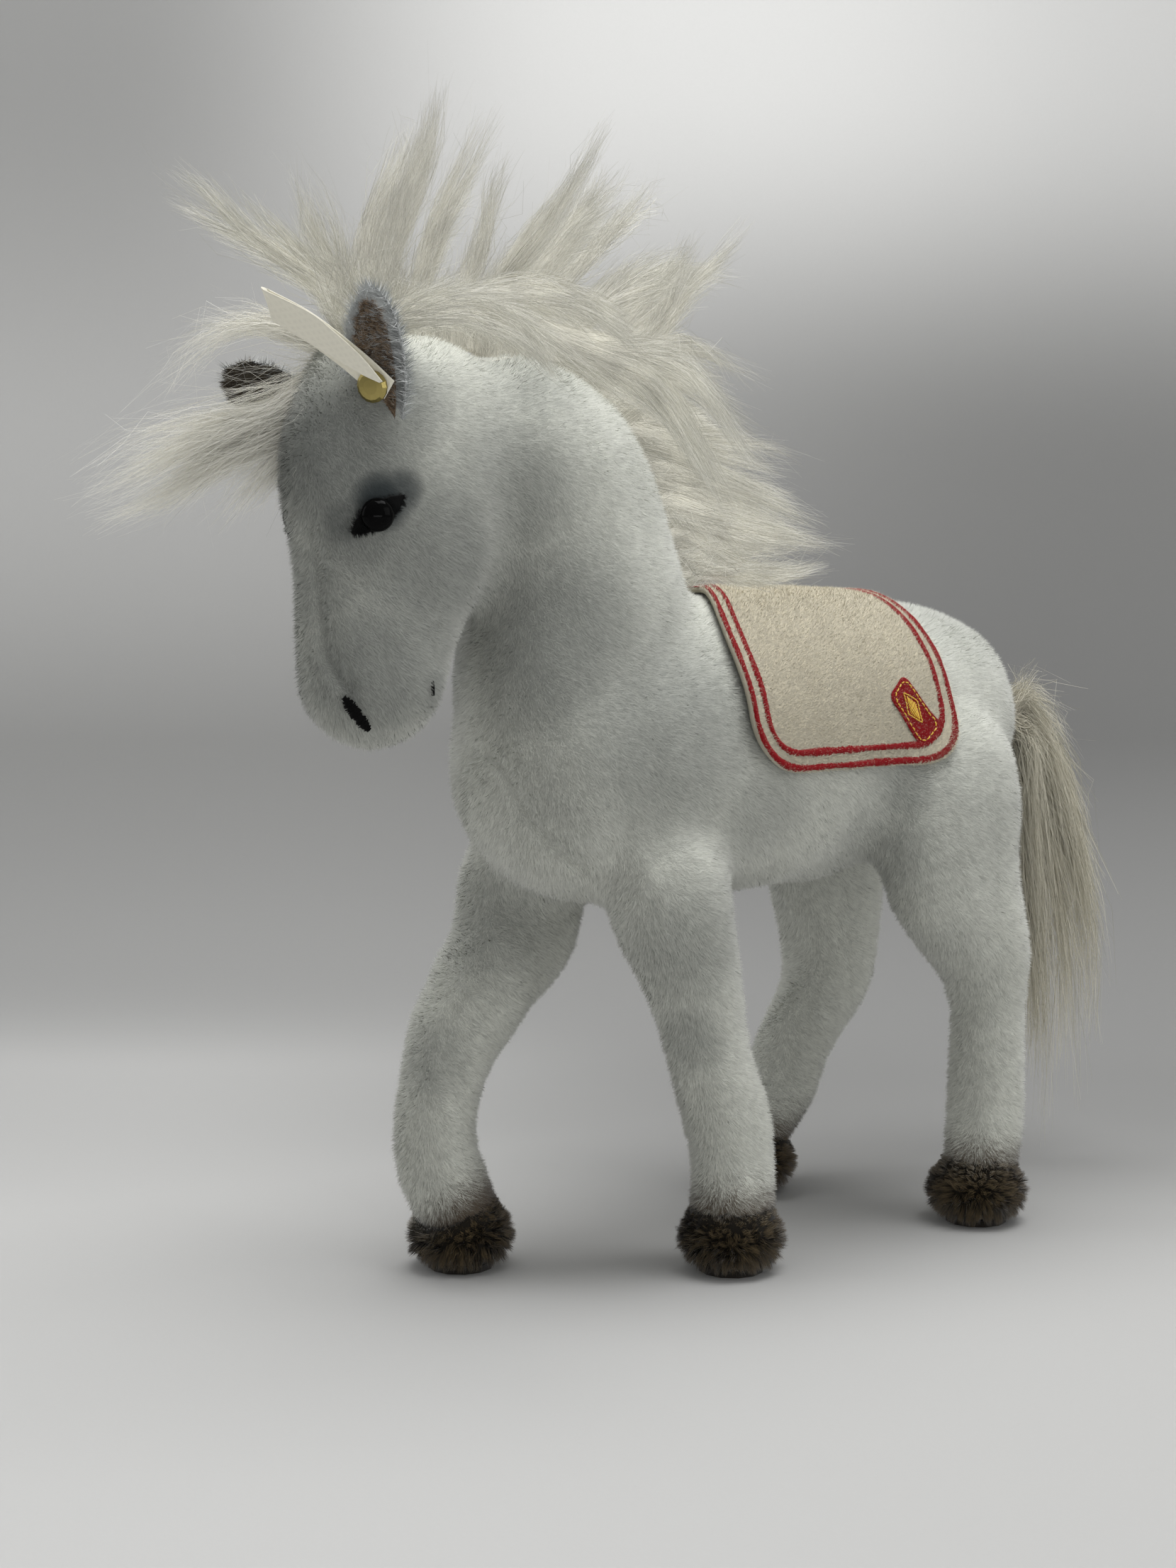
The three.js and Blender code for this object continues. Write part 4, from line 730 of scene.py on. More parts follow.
black_felt = pile_material("black_felt", (0.007, 0.008, 0.008), (0.003, 0.003, 0.003), 0.5, 2.0,
                           Sheen_Weight=0.05)
FELT_LONG = (-0.3387, -0.6829, -0.543)
FELT_NARROW, FELT_POINT, FELT_HALF = 0.8, 0.35, 9.5 * MM
for seed, side in enumerate(("left", "right")):
    name = side + "_eye_felt"
    skin = soft_skin(name + "_skin", [name], voxel=0.35 * MM, swell=0.1 * MM, rounds=5, inset=0.05 * MM)
    middle, line, facing = on_side(EYE_PLACE, side) * MM, on_side(FELT_LONG, side), on_side(EYE_OUT, side)
    cross = np.cross(facing, line)
    places = points_of(skin) - middle
    along, across = places @ line, places @ cross
    slim = 1 - FELT_NARROW * FELT_POINT * np.clip(np.abs(along) / FELT_HALF, 0, 1) - (1 - FELT_NARROW)
    places += cross * (across * (slim - 1))[:, None]
    move_points(skin, places + middle)
    add_object(skin, black_felt, [name])
    add_pile(name + "_fuzz", skin, None, black_felt, "black_felt", density=20.0, length=1.7 * MM,
             width=0.14 * MM, lean=0.9, nap=outward, seed=70 + seed, uneven=1.0, clump=1.2 * MM, pull=0.6)

# Nostrils and mouth corners: black satin stitches, sewn through the plush with glossy thread. Each nostril is
# a slanting almond of threads that arch side by side, and each corner of the mouth is a small one.
THREAD_WIDTH, THREAD_RISE = 0.42 * MM, 0.5 * MM
ARCH_STEPS, THREAD_SIDES = 7, 5


def thread_material(name, colour, sheen, gloss=0.4):
    fibres = {"Scale": 1800.0, "Detail": 2.0, "Distortion": 0.6}
    return toned_surface(name, colour, 0.7, 1.25, fibres, span=(0.3, 0.7), Roughness=0.45, Sheen_Weight=sheen,
                         Sheen_Roughness=0.4, Specular_IOR_Level=gloss)


def satin_mesh(name, centres, across, outs, widths, slant, seed, ragged):
    """Threads that lie side by side across a line and arch over it. Each is a half tube from edge to edge."""
    rng = np.random.default_rng(seed)
    count = len(centres)
    across, outs = unit(across), unit(outs)
    along = np.cross(outs, across)
    leaned = unit(across + along * slant)
    ahead = np.cross(outs, leaned)
    reach = widths[:, None] / 2 * rng.uniform(1 - ragged, 1 + ragged, (count, 1))
    rise = THREAD_RISE * rng.uniform(0.9, 1.1, (count, 1))
    rings = []
    for x in np.linspace(-1, 1, ARCH_STEPS):
        bend = math.sqrt(max(0.0, 1 - x * x))
        middle = centres + leaned * (reach * x) + outs * (rise * bend)
        up = unit(outs * max(bend, 0.25) + leaned * x * 0.8)
        ring = [middle + (ahead * math.cos(t) + up * math.sin(t)) * (THREAD_WIDTH / 2)
                for t in np.linspace(0, math.pi, THREAD_SIDES)]
        rings.append(np.stack(ring, 1))
    corners = np.stack(rings, 1)
    base = np.arange(count)[:, None, None] * (ARCH_STEPS * THREAD_SIDES)
    step = np.arange(ARCH_STEPS - 1)[None, :, None] * THREAD_SIDES
    turn = np.arange(THREAD_SIDES - 1)[None, None, :]
    first = base + step + turn
    faces = np.stack([first, first + 1, first + THREAD_SIDES + 1, first + THREAD_SIDES], -1).reshape(-1, 4)
    mesh = bpy.data.meshes.new(name)
    mesh.from_pydata(corners.reshape(-1, 3).tolist(), [], faces[:, ::-1].tolist())
    return mesh


black_thread = thread_material("black_thread", (0.003, 0.003, 0.003), 0.0, 0.05)
STITCH_GAP, STITCH_BOW, STITCH_POINTED, STITCH_ENDS = 0.3, 0.012, 0.86, 0.05
# Each mark: its place, the ways out of the head and along it, its length and width, and its height on the
# left and on the right
STITCHED = {
    "nostril": ((11.8, -129.4, 171.2), (0.7412, -0.5161, -0.4293), (0.0173, 0.654, -0.7563), 11.8, 3.1,
                (0.4, -1.0)),
    "mouth_stitch": ((16.8, -107.0, 177.3), (0.9382, 0.3314, -0.1), (-0.1655, 0.1825, -0.9481), 3.8, 1.2,
                     (-1.2, -1.2)),
}
for seed, (mark, (place, out, long, length, width, raised)) in enumerate(STITCHED.items()):
    for side, height in zip(("left", "right"), raised):
        middle, facing, line = on_side(place, side) * MM, on_side(out, side), on_side(long, side)
        run = np.linspace(-0.5, 0.5, int(length / STITCH_GAP))
        centres = middle + line * (run * length * MM)[:, None] + facing * (height * MM)
        centres -= facing * ((run * length) ** 2 * STITCH_BOW * MM)[:, None]
        full = width * MM
        widths = full * np.sqrt(np.clip(1 - (run * 2) ** 2 * STITCH_POINTED, STITCH_ENDS, 1))
        across, outs = (np.tile(way, (len(run), 1)) for way in (np.cross(facing, line), facing))
        sewn = satin_mesh(side + "_" + mark + "_threads", centres, across, outs, widths, 0.2, 80 + seed, 0.35)
        add_object(sewn, black_thread, [side + "_" + mark])

# Saddle cloth: one piece of cream felt with rounded corners, laid over the back and tacked to the plush. It
# is cut back at the withers. Two lines of red satin stitch run round it.
CLOTH_AXIS, CLOTH_FRONT, CLOTH_RADIUS = 156.0, -13.816, 44.0
CLOTH_DROP, CLOTH_LENGTH, CLOTH_CORNER, CLOTH_NOTCH = 74.98, 86.0, 18.0, 17.0
CLOTH_THICK, CLOTH_CLEAR, CLOTH_EDGE = 1.6, 0.6, 0.45
CLOTH_TAPER, NOTCH_SPAN, CROWDED = 4.5, 0.6, 0.35
RAY_FROM, RAY_MISSED = 110, 50


def cloth_rays(drop, back):
    """The points on the barrel's axis and the directions that lead to places of the cloth, both in mm."""
    swing = drop / CLOTH_RADIUS
    share = np.clip(1 - np.abs(drop) / (NOTCH_SPAN * CLOTH_DROP), 0, None) ** 2
    y = CLOTH_FRONT + back + CLOTH_NOTCH * share * (1 - back / CLOTH_LENGTH)
    y = y - CLOTH_TAPER * (np.abs(drop) / CLOTH_DROP) ** 3 * back / CLOTH_LENGTH
    none = np.zeros_like(y)
    return np.stack([none, y, none + CLOTH_AXIS], -1), np.stack([np.sin(swing), none, np.cos(swing)], -1)


def coat_radii(drops, backs):
    """How far out the coat is along each ray, in mm."""
    starts, ways = cloth_rays(*np.meshgrid(drops, backs, indexing="ij"))
    found = np.zeros(starts.shape[:2])
    for i, j in np.ndindex(found.shape):
        outer = Vector((starts[i, j] + ways[i, j] * RAY_FROM) * MM)
        hit = coat_tree.ray_cast(outer, Vector(-ways[i, j]))
        found[i, j] = RAY_FROM - hit[3] / MM if hit[0] else RAY_MISSED
    return found


TABLE_DROPS, TABLE_BACKS = np.linspace(-78, 78, 157), np.linspace(-3, 89, 93)
cloth_radii = coat_radii(TABLE_DROPS, TABLE_BACKS)
for _ in range(5):
    padded_radii = np.pad(cloth_radii, 1, mode="edge")
    cloth_radii = (padded_radii[1:-1, 1:-1] * 2 + padded_radii[:-2, 1:-1] + padded_radii[2:, 1:-1]
                   + padded_radii[1:-1, :-2] + padded_radii[1:-1, 2:]) / 6
drop_grid, back_grid = np.meshgrid(TABLE_DROPS, TABLE_BACKS, indexing="ij")
# The cloth stands off a little at its lower edges, ripples over the wadding and waves along its hem.
FLARE_FROM, FLARE_RUN, FLARE = 58, 17, 0.7
HEM_FROM, HEM_RUN, HEM_WAVE = 50, 25, 0.3
RIPPLE, TACK_ROOM = 0.55, 0.35
flare = np.clip((np.abs(drop_grid) - FLARE_FROM) / FLARE_RUN, 0, 1) ** 2 * FLARE
ripple = (np.sin(back_grid * 0.19 + drop_grid * 0.05) * 0.28
          + np.sin(back_grid * 0.09 - drop_grid * 0.11 + 1) * 0.3
          + np.sin(drop_grid * 0.23 + back_grid * 0.04) * 0.12)
hem = np.clip((np.abs(drop_grid) - HEM_FROM) / HEM_RUN, 0, 1) * np.sin(back_grid * 0.33 + 0.7) * HEM_WAVE
cloth_radii = cloth_radii + PILE_ROOM / MM + CLOTH_CLEAR + TACK_ROOM + flare + ripple * RIPPLE + hem


def cloth_place(drop, back, lift):
    """Places on the cloth in metres, lift mm above its underside."""
    drop, back = np.asarray(drop, float), np.asarray(back, float)
    i = np.clip(drop - TABLE_DROPS[0], 0, len(TABLE_DROPS) - 1.001)
    j = np.clip(back - TABLE_BACKS[0], 0, len(TABLE_BACKS) - 1.001)
    a, b = i.astype(int), j.astype(int)
    u, v = i - a, j - b
    radius = (cloth_radii[a, b] * (1 - u) * (1 - v) + cloth_radii[a + 1, b] * u * (1 - v)
              + cloth_radii[a, b + 1] * (1 - u) * v + cloth_radii[a + 1, b + 1] * u * v)
    start, way = cloth_rays(drop, back)
    return (start + way * (radius + lift)[..., None]) * MM


def cloth_half(back, inset):
    """Half the cloth's width in mm at a place along it, with its corners rounded, less an inset."""
    corner = CLOTH_CORNER - inset
    near = np.minimum(back - inset, CLOTH_LENGTH - inset - back)
    short = np.clip(corner - near, 0, corner)
    return CLOTH_DROP - inset - (corner - np.sqrt(np.maximum(corner ** 2 - short ** 2, 0)))


def grid_faces(rows, columns, start=0):
    first = start + (np.arange(rows - 1)[:, None] * columns + np.arange(columns - 1)[None, :])
    return np.stack([first, first + 1, first + columns + 1, first + columns], -1).reshape(-1, 4)


def cloth_sheet(inset, lift, rows, columns):
    """Rows of points over the cloth, close together at its front and back edges."""
    share = 0.5 - 0.5 * np.cos(np.linspace(0, math.pi, rows))
    back = inset + share * (CLOTH_LENGTH - 2 * inset)
    half = cloth_half(back, inset)
    crowded = np.sin(np.linspace(-math.pi / 2, math.pi / 2, columns))
    across = crowded * CROWDED + np.linspace(-1, 1, columns) * (1 - CROWDED)
    backs = back[:, None] + 0 * across[None, :]
    return cloth_place(half[:, None] * across[None, :], backs, np.full((rows, columns), lift))


def rim_of(rows, columns):
    """The numbers of a grid's edge points, in order round it."""
    number = np.arange(rows * columns).reshape(rows, columns)
    return np.concatenate([number[0, :-1], number[:-1, -1], number[-1, :0:-1], number[:0:-1, 0]])


def closed_sheet(name, top, middle, bottom):
    """A thin closed sheet: two grids joined by a soft rounded edge."""
    rows, columns = top.shape[:2]
    count = rows * columns
    edge = rim_of(rows, columns)
    rim = middle.reshape(-1, 3)[edge]
    corners = np.concatenate([top.reshape(-1, 3), bottom.reshape(-1, 3), rim])
    faces = [grid_faces(rows, columns), grid_faces(rows, columns, count)[:, ::-1]]
    ring, after = np.arange(len(edge)), (np.arange(len(edge)) + 1) % len(edge)
    faces.append(np.stack([edge, 2 * count + ring, 2 * count + after, edge[after]], -1))
    faces.append(np.stack([2 * count + ring, count + edge, count + edge[after], 2 * count + after], -1))
    return closed_mesh(name, corners.tolist(), np.concatenate(faces).tolist())


def top_faces(mesh, grid):
    """Which faces of a closed sheet are on its upper side."""
    return np.arange(len(mesh.polygons)) < (grid[0] - 1) * (grid[1] - 1)


def felt_material(name, colour, patches, bumps, sheen=0.3):
    """Felt: matted fibres, uneven in tone, with a fine matted relief."""
    material, tree, shader = new_surface(name, **{**PLUSH, "Roughness": 0.92, "Sheen_Weight": sheen})
    matted = noise(tree, 1500.0, 4.0, Distortion=1.2)
    relief = add_node(tree, "Bump", {"Height": matted, "Strength": bumps, "Distance": 0.3 * MM})
    tone = pile_tone(tree, colour, [part * 0.8 for part in colour], patches, 6.0)
    tree.links.new(tone, shader.inputs["Base Color"])
    tree.links.new(relief.outputs[0], shader.inputs["Normal"])
    return material


CLOTH_GRID = (110, 190)
cream_felt = felt_material("cream_felt", (0.70, 0.64, 0.49), 0.14, 0.9)
layers = ((CLOTH_EDGE, CLOTH_THICK), (0.0, CLOTH_THICK / 2), (CLOTH_EDGE, 0.0))
sheets = [cloth_sheet(inset, lift, *CLOTH_GRID) for inset, lift in layers]
cloth_mesh = closed_sheet("saddle_cloth_felt", *sheets)
cloth = add_object(cloth_mesh, cream_felt, ["saddle_cloth"])


def any_way(points):
    return np.random.default_rng(91).normal(size=points.shape)


felt_nap = pile_material("cream_felt_nap", (0.74, 0.68, 0.525), (0.46, 0.42, 0.32), 0.45, 1.6)
top = top_faces(cloth_mesh, CLOTH_GRID)
cloth_nap = add_pile("saddle_cloth_nap", cloth_mesh, top, felt_nap, "cream_felt", shadow=False, density=11.0,
                     length=1.4 * MM, width=0.16 * MM, lean=1.05, nap=any_way, seed=90, uneven=0.9)


def lengths_along(points):
    return np.concatenate([[0], np.cumsum(np.linalg.norm(np.diff(points, axis=0), axis=1))])


def sampled(at, run, points):
    """Values in two columns at some lengths along a line."""
    return np.stack([np.interp(at, run, points[:, k]) for k in range(2)], 1)


def border_line(inset, gap):
    """Points in mm round the cloth at an inset from its edge, and the way out of the edge at each."""
    corner, half, low, high = CLOTH_CORNER - inset, CLOTH_DROP - inset, inset, CLOTH_LENGTH - inset
    turns = [(half - corner, high - corner, 0), (-half + corner, high - corner, 90),
             (-half + corner, low + corner, 180), (half - corner, low + corner, 270)]
    places, ways = [], []
    for x, y, start in turns:
        for t in np.radians(np.linspace(start, start + 90, max(2, int(corner * math.pi / 2 / gap)))):
            places.append((x + corner * math.cos(t), y + corner * math.sin(t)))
            ways.append((math.cos(t), math.sin(t)))
    places, ways = np.array(places + places[:1]), np.array(ways + ways[:1])
    run = lengths_along(places)
    at = np.linspace(0, run[-1], int(run[-1] / gap), endpoint=False)
    return sampled(at, run, places), unit(sampled(at, run, ways))


BESIDE = 0.5


def on_cloth(line, ways, lift):
    """A line on the cloth with the directions across it and out of the cloth, in metres."""
    lifts, beside = np.full(len(line), lift), line + ways * BESIDE
    middle = cloth_place(line[:, 0], line[:, 1], lifts)
    outer = cloth_place(beside[:, 0], beside[:, 1], lifts)
    return middle, unit(outer - middle), cloth_rays(line[:, 0], line[:, 1])[1]


red_thread = thread_material("red_thread", (0.25, 0.004, 0.008), 0.0, 0.15)
BORDERS = {"outer_border": (1.6, 1.6), "inner_border": (5.9, 1.75)}
BORDER_GAP, SEWN_LIFT = 0.36, 0.05
for seed, (name, (inset, width)) in enumerate(BORDERS.items()):
    line, ways = border_line(inset, BORDER_GAP)
    number = np.arange(len(line))
    wander = 1 + 0.16 * np.sin(number * 0.05 + seed) + 0.08 * np.sin(number * 0.17)
    laid = on_cloth(line, ways, CLOTH_THICK + SEWN_LIFT)
    sewn = satin_mesh(name + "_threads", *laid, width * wander * MM, 0.25, 100 + seed, 0.22)
    add_object(sewn, red_thread, [name])

# Patch: a small tag of red felt, sewn to the cloth's rear lower corner with a running stitch of gold thread.
# The embroidery inside it is a plain lozenge, in place of the mark that the real one carries.
PATCH_DROP, PATCH_BACK, PATCH_TURN = 0.785 * CLOTH_DROP, 0.79 * CLOTH_LENGTH, 0.68
PATCH_LONG, PATCH_WIDE, PATCH_THICK, PATCH_CORNER = 21.0, 11.0, 0.55, 2.6
PATCH_GRID, PATCH_EDGE, PATCH_LIFT = (44, 26), 0.25, 0.1


def patch_to_cloth(long, wide):
    turn = (math.cos(PATCH_TURN), math.sin(PATCH_TURN))
    return PATCH_DROP + long * turn[0] + wide * turn[1], PATCH_BACK + long * turn[1] - wide * turn[0]


def patch_sheet(inset, lift):
    rows, columns = PATCH_GRID
    half_long, half_wide, corner = PATCH_LONG / 2 - inset, PATCH_WIDE / 2 - inset, PATCH_CORNER
    long = half_long * np.sin(np.linspace(-math.pi / 2, math.pi / 2, rows))
    short = np.clip(np.abs(long) - (half_long - corner), 0, corner)
    half = half_wide - corner + np.sqrt(np.maximum(corner ** 2 - short ** 2, 0))
    wide = half[:, None] * np.linspace(-1, 1, columns)[None, :]
    lifts = np.full(wide.shape, CLOTH_THICK + lift)
    return cloth_place(*patch_to_cloth(long[:, None] + 0 * wide, wide), lifts)


red_felt = felt_material("red_felt", (0.36, 0.007, 0.012), 0.35, 0.5, 0.04)
layers = ((PATCH_EDGE, PATCH_THICK), (0.0, PATCH_THICK / 2), (PATCH_EDGE, 0.0))
patch_mesh = closed_sheet("patch_felt", *[patch_sheet(inset, PATCH_LIFT + lift) for inset, lift in layers])
patch = add_object(patch_mesh, red_felt, ["patch"])
top = top_faces(patch_mesh, PATCH_GRID)
patch_nap = add_pile("patch_nap", patch_mesh, top, red_felt, "red_felt", density=22.0, length=0.7 * MM,
                     width=0.1 * MM, lean=1.1, nap=any_way, seed=91, uneven=0.8)

gold_thread = thread_material("gold_thread", (0.80, 0.52, 0.06), 0.1)
GOLD_STEPS, GOLD_SIDES, GOLD_RISE = 6, 6, 0.25


def running_stitches(places, seed):
    """Short arched threads, one for each pair of neighbouring places on the patch in mm."""
    rng = np.random.default_rng(seed)
    corners, faces = [], []
    steps = np.linspace(0, 1, GOLD_STEPS)
    sides = range(GOLD_SIDES)
    for (l0, w0), (l1, w1) in places:
        spot = patch_to_cloth(l0 + (l1 - l0) * steps + rng.normal(0, 0.05),
                              w0 + (w1 - w0) * steps + rng.normal(0, 0.05))
        line = cloth_place(*spot, CLOTH_THICK + PATCH_THICK + GOLD_RISE * np.sin(steps * math.pi) + SEWN_LIFT)
        ahead = unit(np.gradient(line, axis=0))
        aside = unit(np.cross(ahead, cloth_rays(*spot)[1]))
        up = np.cross(aside, ahead)
        base = len(corners)
        for k in range(GOLD_STEPS):
            for t in np.linspace(0, 2 * math.pi, GOLD_SIDES, endpoint=False):
                corners.append(line[k] + (aside[k] * math.cos(t) + up[k] * math.sin(t)) * THREAD_WIDTH / 2)
        for first in range(base, base + (GOLD_STEPS - 1) * GOLD_SIDES, GOLD_SIDES):
            for n in sides:
                m = (n + 1) % GOLD_SIDES
                faces.append((first + n, first + m, first + GOLD_SIDES + m, first + GOLD_SIDES + n))
        faces.append(tuple(base + n for n in reversed(sides)))
        faces.append(tuple(base + (GOLD_STEPS - 1) * GOLD_SIDES + n for n in sides))
    return corners, faces


def dashes(points, run, gap):
    """Splits a closed line into stitches of one length with gaps between them."""
    points = np.array(points + points[:1], float)
    far = lengths_along(points)
    count = round(far[-1] / (run + gap))
    starts = np.arange(count) * far[-1] / count
    return list(zip(*[sampled(starts + ahead, far, points).tolist() for ahead in (0, run)]))


# Places on the patch: the gold border with its cut corners, and the lozenge with the stitches that fill it
LONG, WIDE, CUT = PATCH_LONG / 2 - 1.2, PATCH_WIDE / 2 - 1.2, 1.6
ring = [(LONG, -WIDE + CUT), (LONG, WIDE - CUT), (LONG - CUT, WIDE), (-LONG + CUT, WIDE),
        (-LONG, WIDE - CUT), (-LONG, -WIDE + CUT), (-LONG + CUT, -WIDE), (LONG - CUT, -WIDE)]
MIDDLE, LOZENGE_LONG, LOZENGE_WIDE = -1.4, 6.0, 3.1
FILL_LONG, FILL_WIDE, FILL_SLANT, FILL_END, FILL_COUNT = 4.6, 2.1, 0.6, 4.0, 14
lozenge = [(MIDDLE + LOZENGE_LONG, 0), (MIDDLE, LOZENGE_WIDE), (MIDDLE - LOZENGE_LONG, 0),
           (MIDDLE, -LOZENGE_WIDE)]
stitches = dashes(ring, 1.25, 0.6) + dashes(lozenge, 1.0, 0.15)
for x in np.linspace(MIDDLE - FILL_END, MIDDLE + FILL_END, FILL_COUNT):
    half = FILL_WIDE * (1 - abs(x - MIDDLE) / FILL_LONG)
    stitches.append(((x, -half), (x + FILL_SLANT, half)))
corners, faces = running_stitches(stitches, 7)
gold_mesh = bpy.data.meshes.new("patch_gold_threads")
gold_mesh.from_pydata([list(c) for c in corners], [], faces)
gold = add_object(gold_mesh, gold_thread, ["patch_stitch"])

# Mane: long cream-white pile on a woven tape sewn down the crest. It has been combed up into tufts between
# the ears, along the crest and at the withers, and two tufts fall over the near side of the neck.
HAIR_WIDTH = 0.14 * MM
HAIR_STEPS = 7
LOOSE_SHARE, LOOSE_FRIZZ, WISP_BEND = 0.06, 3.4, 0.065
ROUND = 6.3
CREST = np.array([(0.1, -121.6, 271.7), (0.1, -113.6, 272.5), (0.1, -103.9, 273.9), (0.1, -91.2, 271.8),
                  (0.1, -77.4, 269.0), (0.1, -61.3, 269.4), (0.1, -44.4, 262.9), (0.1, -29.5, 250.9),
                  (0.1, -20.1, 233.8), (0.1, -13.5, 217.2), (0.1, -7.4, 202.2)])
# Each lock: its width and its share of the usual number of strands, and the line that it follows.
MANE_LOCKS = {
    "mane_poll_locks": [
        (7.0, 0.45, [(-1.0, -119.3, 276.1), (-3.0, -134.6, 288.6), (-5.0, -150.6, 298.5),
                     (-6.0, -161.5, 305.2), (-7.0, -170.2, 308.0)]),
        (4.5, 0.25, [(-1.0, -119.3, 276.8), (-2.0, -126.4, 286.4), (-3.0, -132.3, 297.1),
                     (-4.0, -134.8, 308.1), (-4.0, -139.5, 318.6)]),
        (4.5, 0.25, [(0.0, -119.3, 276.8), (-1.0, -123.7, 286.5), (-2.0, -125.8, 297.6),
                     (-2.0, -129.5, 308.3), (-2.0, -132.7, 317.2)]),
        (11.0, 1.0, [(0.0, -114.2, 275.8), (0.0, -110.7, 288.3), (0.0, -103.6, 304.0), (0.0, -95.7, 319.9),
                     (0.0, -91.3, 337.5)]),
        (6.0, 0.4, [(0.0, -116.5, 276.2), (-1.0, -113.9, 290.0), (-1.0, -108.2, 305.6), (-1.0, -99.7, 321.5),
                    (-1.0, -95.1, 333.4)]),
        (6.5, 0.5, [(0.0, -102.6, 279.4), (0.0, -95.9, 294.2), (0.0, -90.1, 307.1), (0.0, -83.2, 320.2),
                    (0.0, -75.3, 336.5)]),
        (3.5, 0.2, [(0.0, -88.3, 280.3), (1.0, -80.2, 293.4), (1.0, -74.8, 305.5), (1.0, -72.0, 316.4),
                    (1.0, -71.0, 323.9)]),
        (14.0, 1.4, [(1.0, -111.5, 275.3), (12.0, -106.3, 278.0), (16.0, -90.4, 279.2), (17.0, -75.4, 274.0),
                     (17.0, -61.8, 263.0)]),
    ],
    "mane_crest_locks": [
        (8.0, 0.6, [(0.0, -76.1, 283.1), (0.0, -66.6, 297.1), (0.0, -57.2, 311.7), (0.0, -48.2, 324.5),
                    (0.0, -35.6, 336.2)]),
        (10.0, 0.9, [(0.0, -66.1, 282.8), (2.0, -56.2, 296.2), (3.0, -45.4, 308.9), (3.0, -34.9, 319.5),
                     (3.0, -24.2, 334.1)]),
        (6.0, 0.35, [(0.0, -68.6, 283.6), (-1.0, -50.0, 302.9), (-2.0, -37.4, 317.2), (-2.0, -30.3, 329.0),
                     (-2.0, -29.2, 340.0)]),
        (6.0, 0.3, [(0.0, -56.0, 284.4), (-2.0, -38.7, 299.9), (-3.0, -24.6, 311.4), (-4.0, -11.4, 321.0),
                    (-4.0, -2.2, 326.4)]),
        (8.0, 0.6, [(1.0, -25.1, 271.1), (2.0, -14.5, 281.9), (3.0, -7.1, 293.7), (4.0, 2.7, 304.4),
                    (4.0, 11.5, 316.0)]),
        (7.0, 0.45, [(0.0, -32.4, 275.8), (0.0, -20.2, 286.9), (0.0, -10.6, 294.8), (0.0, -5.6, 302.4),
                     (0.0, -1.7, 310.0)]),
        (12.0, 1.1, [(1.0, -89.0, 280.2), (8.0, -72.2, 285.6), (12.0, -57.8, 284.3), (14.0, -43.9, 279.1),
                     (14.0, -32.0, 270.8)]),
        (17.0, 1.6, [(1.0, -59.3, 274.2), (10.0, -40.6, 270.6), (17.0, -25.2, 264.9), (20.0, -14.1, 251.0),
                     (20.0, -0.5, 232.9)]),
        (9.0, 0.5, [(0.0, -48.2, 276.9), (3.0, -29.5, 290.0), (4.0, -11.3, 296.4), (4.0, 5.6, 296.7),
                    (4.0, 20.1, 295.6)]),
    ],
    "mane_withers_locks": [
        (10.0, 0.8, [(1.0, -33.2, 259.4), (6.0, -18.4, 259.8), (8.0, -0.6, 254.2), (9.0, 15.9, 249.4),
                     (9.0, 30.7, 244.5)]),
        (6.0, 0.3, [(0.0, -35.0, 267.5), (2.0, -9.5, 277.0), (3.0, 9.5, 274.9), (3.0, 27.2, 270.5),
                    (3.0, 47.0, 263.7)]),
        (12.0, 1.0, [(1.0, -25.1, 249.4), (7.0, -10.9, 245.5), (10.0, 6.3, 239.6), (11.0, 22.9, 234.6),
                     (11.0, 39.6, 226.9)]),
        (12.0, 1.0, [(1.0, -18.2, 238.2), (4.0, -2.6, 235.3), (6.0, 15.9, 230.3), (7.0, 32.8, 225.6),
                     (7.0, 49.8, 222.0)]),
        (12.0, 1.0, [(1.0, -12.6, 227.8), (6.0, 1.4, 223.7), (8.0, 17.1, 218.5), (9.0, 34.1, 214.3),
                     (9.0, 50.4, 211.0)]),
        (10.0, 0.8, [(1.0, -8.3, 218.4), (4.0, 4.7, 213.1), (5.0, 19.9, 210.5), (6.0, 35.5, 210.3),
                     (6.0, 49.9, 211.1)]),
        (9.0, 0.6, [(1.0, -4.0, 211.9), (6.0, 4.4, 209.7), (8.0, 17.2, 208.9), (9.0, 31.2, 208.9),
                    (9.0, 45.5, 209.5)]),
    ],
}
# The part of the crest that each piece of the mane grows from, and the way its short hair stands there.
CREST_PARTS = {"mane_poll_locks": (0.0, 0.36), "mane_crest_locks": (0.3, 0.72),
               "mane_withers_locks": (0.66, 0.98)}
SHORT_WAYS = [(0.0, -0.55, 0.85), (0.0, -0.1, 1.0), (0.0, 0.35, 0.95), (0.0, 0.7, 0.75), (0.0, 0.9, 0.5),
              (0.1, 1.0, 0.25), (0.2, 1.0, 0.1)]


def curve_at(points, share):
    """Places on a smooth curve through points, at shares of it from 0 to 1."""
    points = np.array(points, float)
    ends = np.concatenate([[2 * points[0] - points[1]], points, [2 * points[-1] - points[-2]]])
    at = np.clip(np.asarray(share), 0, 1) * (len(points) - 1)
    k = np.minimum(at.astype(int), len(points) - 2)
    t = (at - k)[..., None]
    a, b, c, d = (ends[k + n] for n in range(4))
    bent = (2 * a - 5 * b + 4 * c - d) * t ** 2 + (3 * b - a - 3 * c + d) * t ** 3
    return 0.5 * (2 * b + (c - a) * t + bent)


# The spread of the lengths of strands and of wisps, as shares of their tuft's
STRAND_SHORTEST, STRAND_SPREAD, STRAND_FALL, WISP_LENGTHS = 0.42, 0.62, (1.6, 1.5), (0.68, 1.08)


